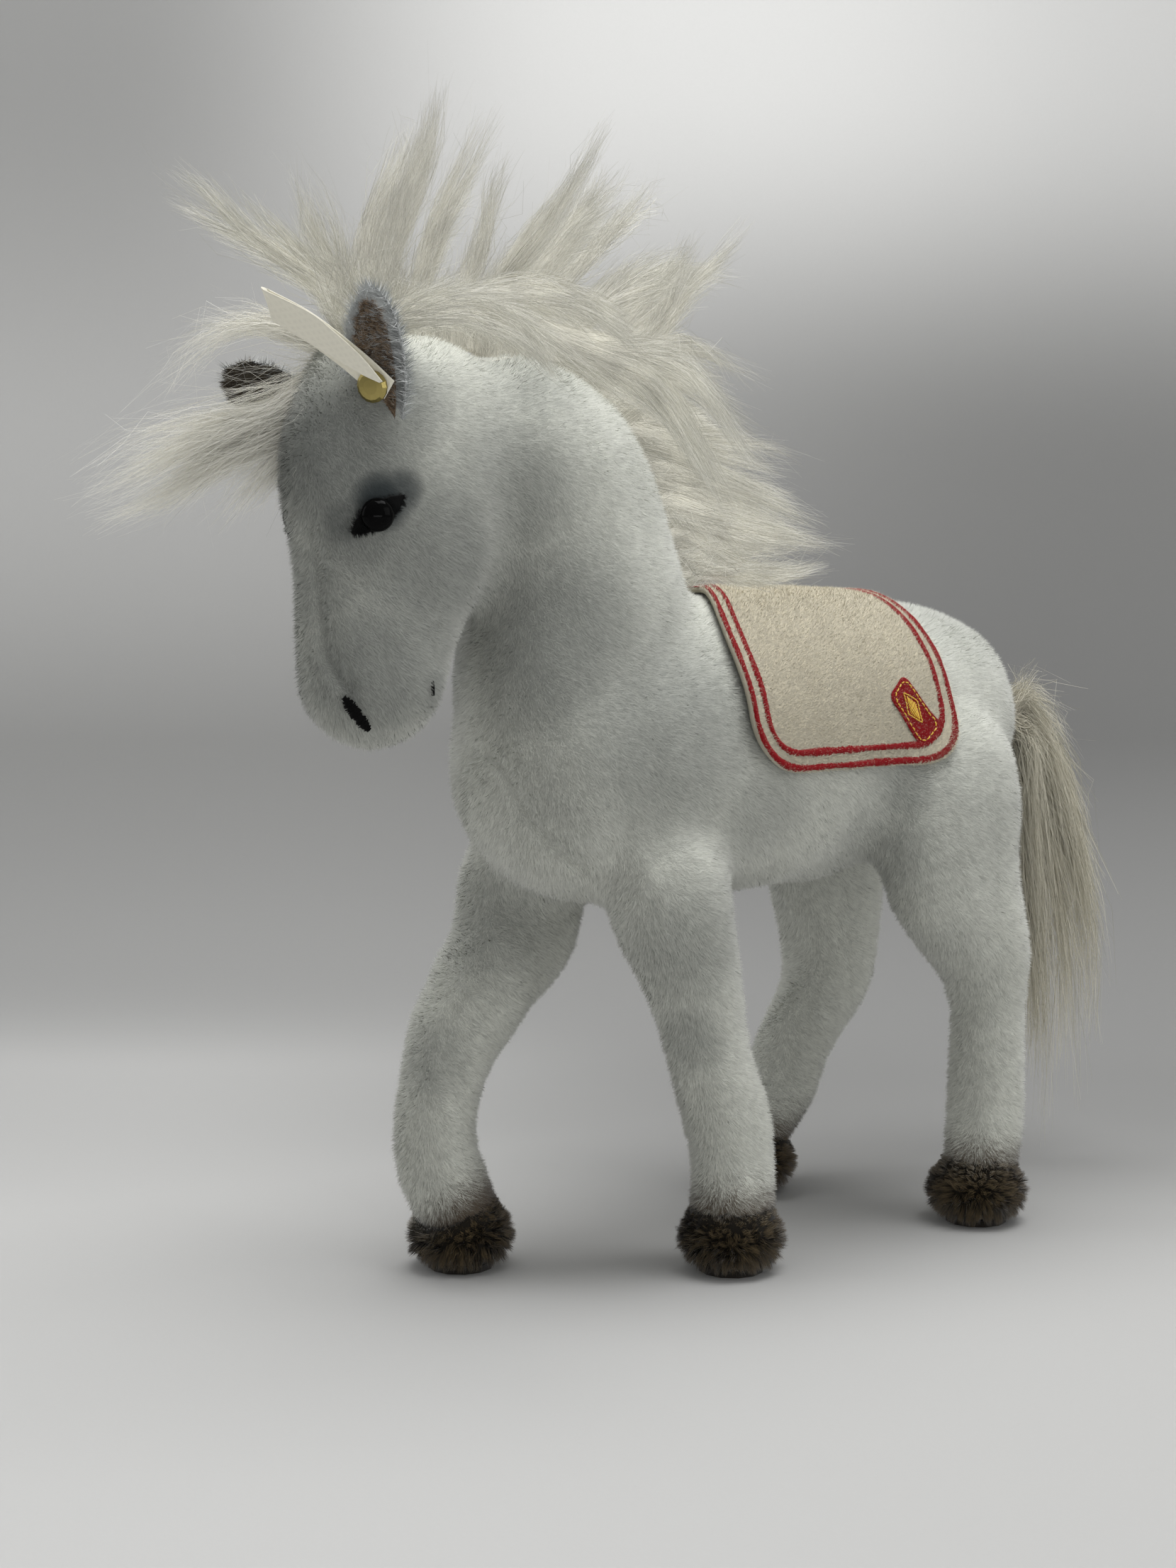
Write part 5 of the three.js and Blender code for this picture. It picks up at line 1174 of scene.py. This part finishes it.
def tuft_strands(guide, width, count, side_way, seed, wisps, frizz, closing, taper, wave, reach=1.0,
                 thick=0.42):
    """Centre lines in mm of the strands of one tuft. They start side by side, gather into wisps and fray."""
    rng = np.random.default_rng(seed)
    share = np.linspace(0, 1, HAIR_STEPS + 1)
    lengths = reach * (STRAND_SHORTEST + STRAND_SPREAD * rng.beta(*STRAND_FALL, count))
    wisp = rng.integers(0, wisps, count)
    lengths *= rng.uniform(*WISP_LENGTHS, wisps)[wisp]
    stray = rng.random(count) < LOOSE_SHARE
    at = np.clip(share[None, :] * lengths[:, None], 0, 1)
    line = curve_at(guide, at)
    ahead = unit(curve_at(guide, np.minimum(at + 0.02, 1)) - curve_at(guide, np.maximum(at - 0.02, 0)))
    side = unit(side_way - (ahead * side_way).sum(-1, keepdims=True) * ahead)
    third = np.cross(ahead, side)
    across = rng.uniform(-1, 1, count)
    through = rng.uniform(-1, 1, count) * np.sqrt(1 - across ** 2 * 0.8)
    wisp_across = (np.arange(wisps) + 0.5) / wisps * 2 - 1 + rng.normal(0, 0.1, wisps)
    wisp_through = rng.normal(0, 0.5, wisps)
    gather = np.clip(share, 0, 1) ** 0.8 * closing
    place_across = across[:, None] * (1 - gather) + wisp_across[wisp][:, None] * gather
    place_through = through[:, None] * (1 - gather) + wisp_through[wisp][:, None] * gather
    narrow = 1.05 - taper * share ** 1.3
    offset = side * (place_across * narrow * width / 2)[..., None]
    offset += third * (place_through * narrow * width * thick)[..., None]
    loose = rng.normal(size=(count, 1, 3)) * 0.35
    round_way = unit(side * across[:, None, None] + third * through[:, None, None] * 1.4 + loose)
    bend = rng.normal(size=(wisps, 3)) * WISP_BEND * np.linalg.norm(np.array(guide[-1]) - guide[0])
    offset += bend[wisp][:, None, :] * (share ** 2)[None, :, None]
    turns, starts = rng.uniform(0.7, 1.5, (wisps, 1, 1)), rng.uniform(0, ROUND, (wisps, 1, 3))
    waves = np.sin(share[None, :, None] * ROUND * turns + starts) - np.sin(starts)
    waves = waves * rng.normal(size=(wisps, 1, 3))
    offset += waves[wisp] * (share ** 1.2)[None, :, None] * wave
    phase, rate = rng.uniform(0, ROUND, (3, count, 3)), rng.uniform(0.5, 2.2, (3, count, 1))
    for k in range(3):
        size = frizz * (0.5 + 1.9 * share ** 1.5)[None, :, None] / (1 + k)
        size = size * np.where(stray, LOOSE_FRIZZ, 1.0)[:, None, None]
        turn = share[None, :, None] * ROUND * rate[k][:, None, :] * (k + 1) * 0.7 + phase[k][:, None, :]
        offset += np.sin(turn) * size * np.minimum(share * 4, 1)[None, :, None] * 0.55
    offset += (rng.normal(size=(count, 1, 3)) * frizz * 1.1) * (share ** 1.6)[None, :, None]
    return line + offset, round_way, rng.random(count)


HAIR_LIFT, HAIR_TWIST = 0.6 * np.array([0.25, 0.1, 0.95]), 0.25
HAIR_WIDTHS, HAIR_FLOOR = (0.7, 1.35), 0.4 * MM


def hair_mesh(name, bundles, seed, width=HAIR_WIDTH):
    """One mesh of flat tapered ribbons along strands, shaded as if they were round."""
    rng = np.random.default_rng(seed)
    lines = np.concatenate([bundle[0] for bundle in bundles]) * MM
    outs = np.concatenate([bundle[1] for bundle in bundles])
    shades = np.concatenate([bundle[2] for bundle in bundles])
    lines[..., 2] = np.maximum(lines[..., 2], HAIR_FLOOR)
    count, steps = lines.shape[:2]
    ahead = unit(np.gradient(lines, axis=1))
    outs = unit(outs + HAIR_LIFT)
    turn = outs + rng.normal(size=(count, 1, 3)) * HAIR_TWIST
    across = unit(np.cross(ahead, turn))
    taper = np.sqrt(np.clip(1.05 - np.linspace(0, 1, steps), 0.05, 1))
    half = across * (width / 2 * taper[None, :, None] * rng.uniform(*HAIR_WIDTHS, (count, 1, 1)))
    corners = np.stack([lines - half, lines + half], 2)
    normals = unit(outs - (outs * ahead).sum(-1, keepdims=True) * ahead * 0.8)
    normals = np.repeat(normals[:, :, None, :], 2, 2)
    base = np.arange(count)[:, None] * steps * 2 + np.arange(steps - 1)[None, :] * 2
    faces = np.stack([base, base + 1, base + 3, base + 2], -1).reshape(-1, 4)
    tips = np.repeat(np.tile(np.linspace(0, 1, steps), count), 2)
    places = corners.reshape(-1, 3)
    low, high = places.min(0), places.max(0)
    share = (places - low) / np.maximum(high - low, 1e-6)
    spots = 0.02 + 0.96 * np.stack([share[:, 1] * 0.5 + share[:, 0] * 0.5, share[:, 2]], 1)
    return fur_mesh(name, places, faces, normals.reshape(-1, 3), tips, np.repeat(shades, steps * 2), spots)


HAIR = {"Roughness": 0.5, "Sheen_Weight": 0.2, "Sheen_Roughness": 0.4, "Specular_IOR_Level": 0.3}
long_pile = pile_material("long_pile", (0.90, 0.885, 0.81), (0.84, 0.82, 0.74), 0.22, 9.0, **HAIR)
# The mane's pile is a darker copy of the long pile, as painted shade: the mane casts no shadows, and the
# shade that its tufts throw on each other is in its colour.
mane_pile = pile_material("mane_pile", (0.60, 0.59, 0.53), (0.46, 0.445, 0.385), 0.5, 9.0, **HAIR)
STRANDS = 2000


def crest_way(share):
    """The way that the crest runs, at a share of it from 0 to 1."""
    return unit(curve_at(CREST, min(share + 0.05, 1)) - curve_at(CREST, max(share - 0.05, 0)))


def crest_share(point):
    """How far along the crest a point is."""
    return np.linalg.norm(curve_at(CREST, np.linspace(0, 1, 101)) - point, axis=1).argmin() / 100


def rooted(guide):
    """A lock's line, carried down into the tape."""
    start = curve_at(CREST, crest_share(np.array(guide[0])))
    return np.concatenate([[start - (0, 0, 0.5)], guide])


SHORT_GAP, SHORT_LENGTH, SHORT_WIDTH, SHORT_LENGTHS = 0.035, 20, 8.5, (0.7, 1.5)


def short_hair(first, last, seed):
    """The short hair that fills a part of the tape between the locks."""
    rng = np.random.default_rng(seed)
    bundles = []
    for n, share in enumerate(np.arange(first, last, SHORT_GAP)):
        root, way = curve_at(CREST, share), unit(curve_at(SHORT_WAYS, share))
        length = SHORT_LENGTH * rng.uniform(*SHORT_LENGTHS)
        end = root + way * length + (rng.uniform(-2, 5), 0, 0) + rng.normal(0, 1.5, 3)
        middle = (root + end) / 2 + way[[0, 2, 1]] * (0, -0.1, 0.1) * length + (rng.uniform(0, 2.5), 0, 0)
        bundles.append(tuft_strands([root, middle, end], SHORT_WIDTH, STRANDS // 6, crest_way(share),
                                    seed * 37 + n, wisps=5, frizz=1.3, closing=0.7, taper=0.5, wave=0.7))
    return bundles


EAR_CENTRE = np.array([-34.5, -132.5, 264.0])
CAMERA_PLACE = np.array([0.53694, -0.47530, 0.211])
EAR_VIEW = unit(CAMERA_PLACE / MM - EAR_CENTRE)


def parted(bundle, radius, kept, seed):
    """A bundle with most of the strands taken away that would hang in front of the right ear's lining."""
    lines = bundle[0] - EAR_CENTRE
    ahead = lines @ EAR_VIEW
    aside = np.linalg.norm(lines - ahead[..., None] * EAR_VIEW, axis=-1)
    hiding = ((ahead > -3) & (aside < radius)).any(1)
    stay = ~hiding | (np.random.default_rng(seed).random(len(lines)) < kept)
    return tuple(values[stay] for values in bundle)


BROAD = {"wisps": 9, "closing": 0.82, "frizz": 0.95, "taper": 0.55, "wave": 1.5}
SLIM = {"wisps": 3, "closing": 0.92, "frizz": 1.1, "taper": 0.8, "wave": 2.0}
BROAD_FROM, PART_RADIUS, PART_LEFT = 11, 10.0, 0.08
WITHERS_REACH = 0.93
for seed, (name, locks) in enumerate(MANE_LOCKS.items()):
    reach = WITHERS_REACH if "withers" in name else 1.0
    bundles = [tuft_strands(rooted(guide), width, int(STRANDS * amount), crest_way(crest_share(guide[0])),
                            200 + seed * 20 + n, reach=reach, **(BROAD if width > BROAD_FROM else SLIM))
               for n, (width, amount, guide) in enumerate(locks)]
    bundles += short_hair(*CREST_PARTS[name], 300 + seed)
    bundles = [parted(bundle, PART_RADIUS, PART_LEFT, 440 + n) for n, bundle in enumerate(bundles)]
    # The mane's hair casts no shadows; its darker pile stands in for them as painted shade.
    hair = add_object(hair_mesh(name + "_hair", bundles, 400 + seed), mane_pile, [name])
    hair.visible_shadow = False

# Forelock: the same long pile, rooted in front of the poll. It is combed over the right ear and hangs out to
# the horse's right.
FORELOCK = [
    (16.0, 1.2, [(-2.0, -124.5, 261.2), (-12.0, -136.2, 252.8), (-20.0, -151.3, 243.1),
                 (-27.0, -166.8, 232.6), (-33.0, -184.6, 226.5)]),
    (14.0, 1.0, [(-2.0, -124.4, 265.0), (-11.0, -136.7, 257.8), (-19.0, -151.7, 252.5),
                 (-26.0, -171.3, 245.5), (-32.0, -190.2, 230.4)]),
    (12.0, 0.9, [(-2.0, -124.5, 256.5), (-9.0, -133.6, 248.0), (-16.0, -145.0, 239.4), (-22.0, -155.7, 231.2),
                 (-28.0, -169.6, 223.6)]),
    (7.0, 0.3, [(-2.0, -125.5, 268.7), (-9.0, -135.5, 272.7), (-16.0, -146.6, 272.2), (-22.0, -156.2, 266.5),
                (-26.0, -168.0, 254.9)]),
]
bundles = []
for n, (width, amount, guide) in enumerate(FORELOCK):
    line = np.concatenate([[(0.1, -117.0, 272.5)], guide])
    strands = tuft_strands(line, width, int(STRANDS * amount), np.array([0.3, 0.6, 0.75]), 500 + n, wisps=7,
                           frizz=1.5, closing=0.75, thick=0.3, taper=0.35, wave=1.6)
    bundles.append(parted(strands, 9.5, 0.07, 520 + n))
add_object(hair_mesh("forelock_hair", bundles, 510), long_pile, ["forelock"])

# Tail: four tufts of long pile on a stub of white plush that is sewn into the rump. It hangs down and a
# little back, and its wisps end at different heights.
TAIL_ROOT, TAIL_END = np.array([0.1, 119.6, 162.4]), np.array([0.1, 137.6, 157.9])
TAIL_LOCKS = [
    [(0.1, 146.0, 158.0), (0.5, 158.0, 140.0), (1.0, 170.0, 105.0), (1.5, 179.0, 70.0), (1.5, 182.0, 22.4)],
    [(0.1, 146.0, 158.0), (3.0, 154.0, 138.0), (4.5, 163.0, 105.0), (5.0, 168.0, 70.0), (5.0, 169.0, 28.0)],
    [(0.1, 147.0, 160.0), (-1.0, 163.0, 142.0), (-2.0, 176.0, 112.0), (-2.5, 187.0, 76.0),
     (-2.5, 190.0, 36.0)],
    [(0.1, 146.0, 157.0), (-3.0, 151.0, 132.0), (-4.5, 157.0, 100.0), (-5.0, 161.0, 66.0),
     (-5.0, 163.0, 34.0)],
]
TAIL_WIDTH, TAIL_FULL, DOCK_ROOM = 11.5, 1.1, 0.6 * MM
dock_skin = soft_skin("tail_dock_skin", ["tail_dock"], voxel=0.9 * MM, swell=0.2 * MM, rounds=8,
                      inset=0.8 * MM)
add_object(dock_skin, backing, ["tail_dock"])
clear_of_coat = faces_away_from(dock_skin, coat_tree, DOCK_ROOM)
add_pile("tail_dock_pile", dock_skin, clear_of_coat, pile_white, "white_plush", density=6.0, length=2.9 * MM,
         width=0.32 * MM, lean=0.8, nap=brushed, seed=30)
bundles = []
for n, guide in enumerate(TAIL_LOCKS):
    inside = [TAIL_ROOT * 0.35 + TAIL_END * 0.65 + (0, 0, 2.0), TAIL_END + (0, 2.0, 1.5)]
    line = np.concatenate([inside, guide])
    bundles.append(tuft_strands(line, TAIL_WIDTH, int(STRANDS * TAIL_FULL), np.array([0.6, 0.8, 0.0]),
                                600 + n, wisps=6, frizz=1.5, closing=0.7, thick=0.36, taper=0.3, wave=2.2))
tail_pile = pile_material("tail_pile", (0.66, 0.63, 0.52), (0.52, 0.48, 0.38), 0.22, 9.0, **HAIR)
tail_mesh = hair_mesh("tail_hair_strands", bundles, 610, width=0.2 * MM)
add_object(tail_mesh, tail_pile, ["tail_hair"])

# Tape of the mane: woven cotton with the hair in its edge, sewn down along the crest. It lies in the pile,
# pressed onto the coat.
def woven_material(name, colour, pitch, contrast):
    """A plain weave of two sets of threads, drawn as a fine relief and a slight change of tone."""
    material, tree, shader = new_surface(name, Roughness=0.7, Sheen_Weight=0.2, Specular_IOR_Level=0.25)
    turned = add_node(tree, "Mapping", {"Vector": object_place(tree), "Rotation": (0.4, 0.3, 0.2)}).outputs[0]
    wave = {"Vector": turned, "Scale": 1 / (pitch * 20), "Distortion": 0.4, "Detail": 1.0}
    sets = [add_node(tree, "TexWave", wave, bands_direction=way).outputs[1] for way in ("X", "Z")]
    weave = maths(tree, "MAXIMUM", *sets)
    relief = add_node(tree, "Bump", {"Height": weave, "Strength": 0.5, "Distance": 0.1 * MM})
    tree.links.new(scaled(tree, colour, ranged(tree, weave, first=1 - contrast)), shader.inputs["Base Color"])
    tree.links.new(relief.outputs[0], shader.inputs["Normal"])
    return material


def refinish(material, *nodes):
    for node in nodes:
        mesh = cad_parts[node].data
        mesh.materials.clear()
        mesh.materials.append(material)


tape = woven_material("woven_tape", (0.70, 0.67, 0.58), 0.5 * MM, 0.2)
TAPE_LIFT = 0.5 * MM
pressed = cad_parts["mane_tape"].data.copy()
pressed.name = "mane_tape_pressed"
for vertex in pressed.vertices:
    place, normal, _, _ = coat_tree.find_nearest(vertex.co)
    vertex.co = place + normal * min((vertex.co - place) @ normal, TAPE_LIFT)
pressed.update()
add_object(pressed, tape, ["mane_tape"])

# Ear tag: a strip of cream woven ribbon, folded once and held by the rivet, so that it turns about it. The
# real one carries print, and this one is bare.
tag_weave = woven_material("tag_weave", (0.83, 0.80, 0.68), 0.2 * MM, 0.05)
RIVET = np.array([16.182, -123.687, 258.24])
TAG_AXIS = np.array([0.4786, -0.8437, -0.243])
TAG_ALONG = np.array([-0.619, -0.5205, 0.5881])
TAG_ACROSS = np.array([-0.6227, -0.131, -0.7714])
TAG_FRONT, TAG_BACK, TAG_THICK, TAG_EDGE = 7.2, 4.27, 0.5, 0.02
TAG_COLUMNS, TAG_ROWS, FOLD_ROWS = 15, 40, 8
TAG_CURL, TAG_CUP, FOLD_BOW, FOLD_REACH, FOLD_SLIDE = 0.9, 0.5, 0.3, 0.7, 0.45
FRONT_EDGES = ([(-2.4, -3.7), (6.0, -5.9), (15.2, -7.0), (23.7, -7.4), (37.4, -5.0)],
               [(-1.9, -3.0), (4.0, -1.7), (11.8, -0.85), (21.9, 0.0), (30.6, 0.7)])
BACK_EDGES = ([(38.0, -4.2), (25.0, -6.2), (12.0, -6.2), (3.0, -5.6), (-4.2, -4.6)],
              [(31.2, 1.6), (22.9, 1.3), (12.0, 1.2), (3.0, 1.6), (-4.2, 1.2)])


def tag_grid(offset, inset):
    """Rows of points over the folded ribbon, offset mm to the outside of its fold."""
    wide = np.linspace(inset, 1 - inset, TAG_COLUMNS)[:, None]

    def leaf(edges, heights):
        for share in np.linspace(0, 1, TAG_ROWS):
            upper, lower = (curve_at([(*place, 0) for place in edge], share)[:2] for edge in edges)
            yield np.column_stack([upper + (lower - upper) * wide, heights(share)])

    def curled(share):
        return TAG_FRONT + offset + (TAG_CURL * share ** 2 - TAG_CUP * np.sin(wide[:, 0] * math.pi)) * share

    rows = list(leaf(FRONT_EDGES, curled))
    start, bow = rows[-1], (TAG_FRONT - TAG_BACK) / 2 + FOLD_BOW
    for t in np.linspace(0, math.pi, FOLD_ROWS + 2)[1:-1]:
        last = start.copy()
        last[:, 0] += (bow * FOLD_REACH + offset) * math.sin(t)
        last[:, 1] += FOLD_SLIDE * (1 - math.cos(t))
        middle = (start[:, 2] - offset + TAG_BACK) / 2
        last[:, 2] = middle + ((start[:, 2] - offset - TAG_BACK) / 2 + offset) * math.cos(t)
        rows.append(last)
    rows += leaf(BACK_EDGES, lambda share: np.full(len(wide), TAG_BACK - offset))
    flat = np.stack(rows)
    return (RIVET + flat[..., :1] * TAG_ALONG + flat[..., 1:2] * TAG_ACROSS + flat[..., 2:] * TAG_AXIS) * MM


layers = ((TAG_THICK / 2, TAG_EDGE), (0.0, 0.0), (-TAG_THICK / 2, TAG_EDGE))
ribbon_mesh = closed_sheet("ear_tag_ribbon", *[tag_grid(offset, inset) for offset, inset in layers])
add_object(ribbon_mesh, tag_weave, ["ear_tag"], body="tag")

# Rivet: a domed cap of pressed brass in the left ear, with a washer clinched on its shank behind. It holds
# the ribbon's fold, and its finish has dulled in places.
brass, tree, shader = new_surface("brass", Metallic=1.0, Roughness=0.28)
tarnish = noise(tree, 420.0, 5.0)
tone = blended(tree, ranged(tree, tarnish, 0.35, 0.7), (0.44, 0.35, 0.12, 1), (0.29, 0.25, 0.10, 1))
tree.links.new(tone, shader.inputs["Base Color"])
tree.links.new(ranged(tree, tarnish, first=0.2, last=0.4), shader.inputs["Roughness"])
refinish(brass, "ear_rivet", "ear_rivet_washer")

# Inner frame: three galvanised steel wires inside the wadding, which keep the thin legs standing. The eyes'
# lock washers of black plastic are pushed onto their stems behind the plush.
steel = toned_surface("steel_wire", WHITE, 0.45, 0.6, {"Scale": 600.0}, kind="TexVoronoi", Metallic=1.0,
                      Roughness=0.4)
refinish(steel, "back_wire", "front_leg_wire", "hind_leg_wire")
plastic = toned_surface("black_plastic", WHITE, 0.015, 0.03, {"Scale": 300.0, "Detail": 2.0}, Roughness=0.45)
refinish(plastic, "left_eye_washer", "right_eye_washer")

# Insoles and sole pads: a stiff disc of board lies flat in each hoof, and a round pad of brown felt is sewn
# on under it. The pad is a little smaller than the foot, so that the hoof's pile hides its edge.
board = toned_surface("insole_board", (0.33, 0.26, 0.18), 0.8, 1.1,
                      {"Scale": 900.0, "Detail": 5.0, "Distortion": 0.5}, Roughness=0.85)
refinish(board, *[name.replace("_hoof", "_insole") for name in HOOVES])
sole_felt = felt_material("sole_felt", (0.025, 0.020, 0.015), 0.3, 0.4)
PAD_SMALLER = 0.14
for name in HOOVES:
    node = name.replace("_hoof", "_sole_pad")
    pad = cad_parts[node].data.copy()
    pad.name = node + "_felt"
    places = points_of(pad)
    places[:, :2] += (places.mean(0)[:2] - places[:, :2]) * PAD_SMALLER
    move_points(pad, places)
    add_object(pad, sole_felt, [node])

# Studio: a pale sweep that runs from the floor into the backdrop, lit softly from above and from behind the
# camera's right. Its colour is painted with light and shade: the backdrop darker at the sides and low down
# and paler at the top, and the floor behind the horse darker to the right, as a painted shadow of it. It is
# clear from behind, so that the back of the horse can be seen too.
CAMERA_PITCH = math.radians(84.65)
CAMERA_TURN = math.radians(51)
CAMERA_LENS = 54.06
PAPER_BLUE = 0.985
SWEEP_NEAR, SWEEP_FAR, SWEEP_BEND, SWEEP_TOP, SWEEP_HALF = -1.2, 0.24, 0.13, 1.6, 2.2
AWAY = (-math.sin(CAMERA_TURN), math.cos(CAMERA_TURN), 0)
ASIDE = (math.cos(CAMERA_TURN), math.sin(CAMERA_TURN), 0)


def sweep_mesh():
    """Floor and backdrop as one bent sheet across the camera's view."""
    profile = [(SWEEP_NEAR, 0.0), (SWEEP_FAR, 0.0)]
    profile += [(SWEEP_FAR + SWEEP_BEND * math.sin(t), SWEEP_BEND * (1 - math.cos(t)))
                for t in np.linspace(0, math.pi / 2, 17)[1:]]
    profile.append((SWEEP_FAR + SWEEP_BEND, SWEEP_TOP))
    corners = [Vector(AWAY) * reach + Vector(ASIDE) * across + Vector((0, 0, rise))
               for reach, rise in profile for across in (-SWEEP_HALF, SWEEP_HALF)]
    faces = [(2 * k, 2 * k + 1, 2 * k + 3, 2 * k + 2) for k in range(len(profile) - 1)]
    mesh = bpy.data.meshes.new("sweep")
    mesh.from_pydata(corners, [], faces)
    mesh.polygons.foreach_set("use_smooth", [True] * len(faces))
    return mesh


paper, tree, shader = new_surface("paper", Roughness=0.85, Specular_IOR_Level=0.2)
place = object_place(tree)
height = add_node(tree, "SeparateXYZ", {0: place}).outputs[2]
across = measured(tree, "DOT_PRODUCT", place, ASIDE)
near = measured(tree, "DOT_PRODUCT", place, AWAY)


def ramp(value, low, high):
    return ranged(tree, value, low, high, way="SMOOTHERSTEP")


def mixed(share, first, second):
    """Blends two tones, each a grey value or an earlier blend."""
    tones = [tone if isinstance(tone, bpy.types.NodeSocket) else (tone, tone, tone * PAPER_BLUE, 1)
             for tone in (first, second)]
    return blended(tree, share, *tones)


# The ramps run from one place to another in metres, across the view, up the wall or away over the floor.
# Painted light on the backdrop: darker to the right and low down, paler at the top.
wall_low = mixed(ramp(across, -0.24, 0.25), 0.33, 0.26)
wall_mid = mixed(ramp(across, -0.24, 0.25), 0.56, 0.26)
wall_top = mixed(ramp(across, -0.27, 0.0), 0.39, mixed(ramp(across, 0.0, 0.28), 0.88, 0.65))
wall = mixed(ramp(height, 0.24, 0.45), mixed(ramp(height, 0.05, 0.28), wall_low, wall_mid), wall_top)
# Painted shadow of the horse: behind it the floor darkens to the right.
floor_far = mixed(ramp(across, -0.25, 0.1), 0.48, 0.265)
floor_near = mixed(ramp(across, -0.2, 0.2), 0.56, 0.49)
floor_tone = mixed(ramp(near, -0.1, 0.2), floor_near, floor_far)
lit = mixed(ramp(near, 0.24, 0.33), floor_tone, wall)
grain = noise(tree, 900.0, 2.0, Vector=place)
toned = scaled(tree, lit, ranged(tree, grain, first=0.985, last=1.015))
tree.links.new(toned, shader.inputs["Base Color"])
behind = add_node(tree, "NewGeometry").outputs["Backfacing"]
clear = add_node(tree, "BsdfTransparent")
seen = add_node(tree, "MixShader", {0: behind, 1: shader.outputs[0], 2: clear.outputs[0]})
surface = next(node for node in tree.nodes if node.type == "OUTPUT_MATERIAL").inputs["Surface"]
tree.links.new(seen.outputs[0], surface)

sweep = bpy.data.objects.new("sweep", sweep_mesh())
sweep.data.materials.append(paper)
bpy.context.scene.collection.objects.link(sweep)


def add_lamp(name, place, target, size, power):
    lamp = bpy.data.lights.new(name, "AREA")
    lamp.shape = "RECTANGLE"
    lamp.size, lamp.size_y = size
    lamp.energy = power
    holder = bpy.data.objects.new(name, lamp)
    holder.location = place
    holder.rotation_euler = (Vector(target) - Vector(place)).to_track_quat("-Z", "Y").to_euler()
    bpy.context.scene.collection.objects.link(holder)
    return holder


add_lamp("top_light", (0.0, 0.18, 1.35), (0, 0, 0.15), (1.2, 0.9), 19.5)
add_lamp("right_light", (0.9, 0.45, 0.5), (0, 0, 0.1), (0.7, 0.7), 2.0)
add_lamp("left_light", (-0.7, -0.7, 0.5), (0, 0, 0.12), (0.7, 0.7), 1.8)
add_lamp("low_fill", (0.9, -0.5, 0.06), (0, 0.05, 0.05), (0.8, 0.1), 1.2)

world = bpy.data.worlds.new("room")
bpy.context.scene.world = world
world.use_nodes = True
world.node_tree.nodes["Background"].inputs["Color"].default_value = (1.0, 1.0, 1.0, 1)
world.node_tree.nodes["Background"].inputs["Strength"].default_value = 0.33

lens = bpy.data.cameras.new("camera")
lens.sensor_fit = "AUTO"
lens.sensor_width = 36
lens.lens = CAMERA_LENS
camera = bpy.data.objects.new("camera", lens)
camera.location = CAMERA_PLACE
camera.rotation_euler = (CAMERA_PITCH, 0, CAMERA_TURN)
bpy.context.scene.collection.objects.link(camera)
bpy.context.scene.camera = camera
bpy.context.scene.view_settings.view_transform = "Standard"
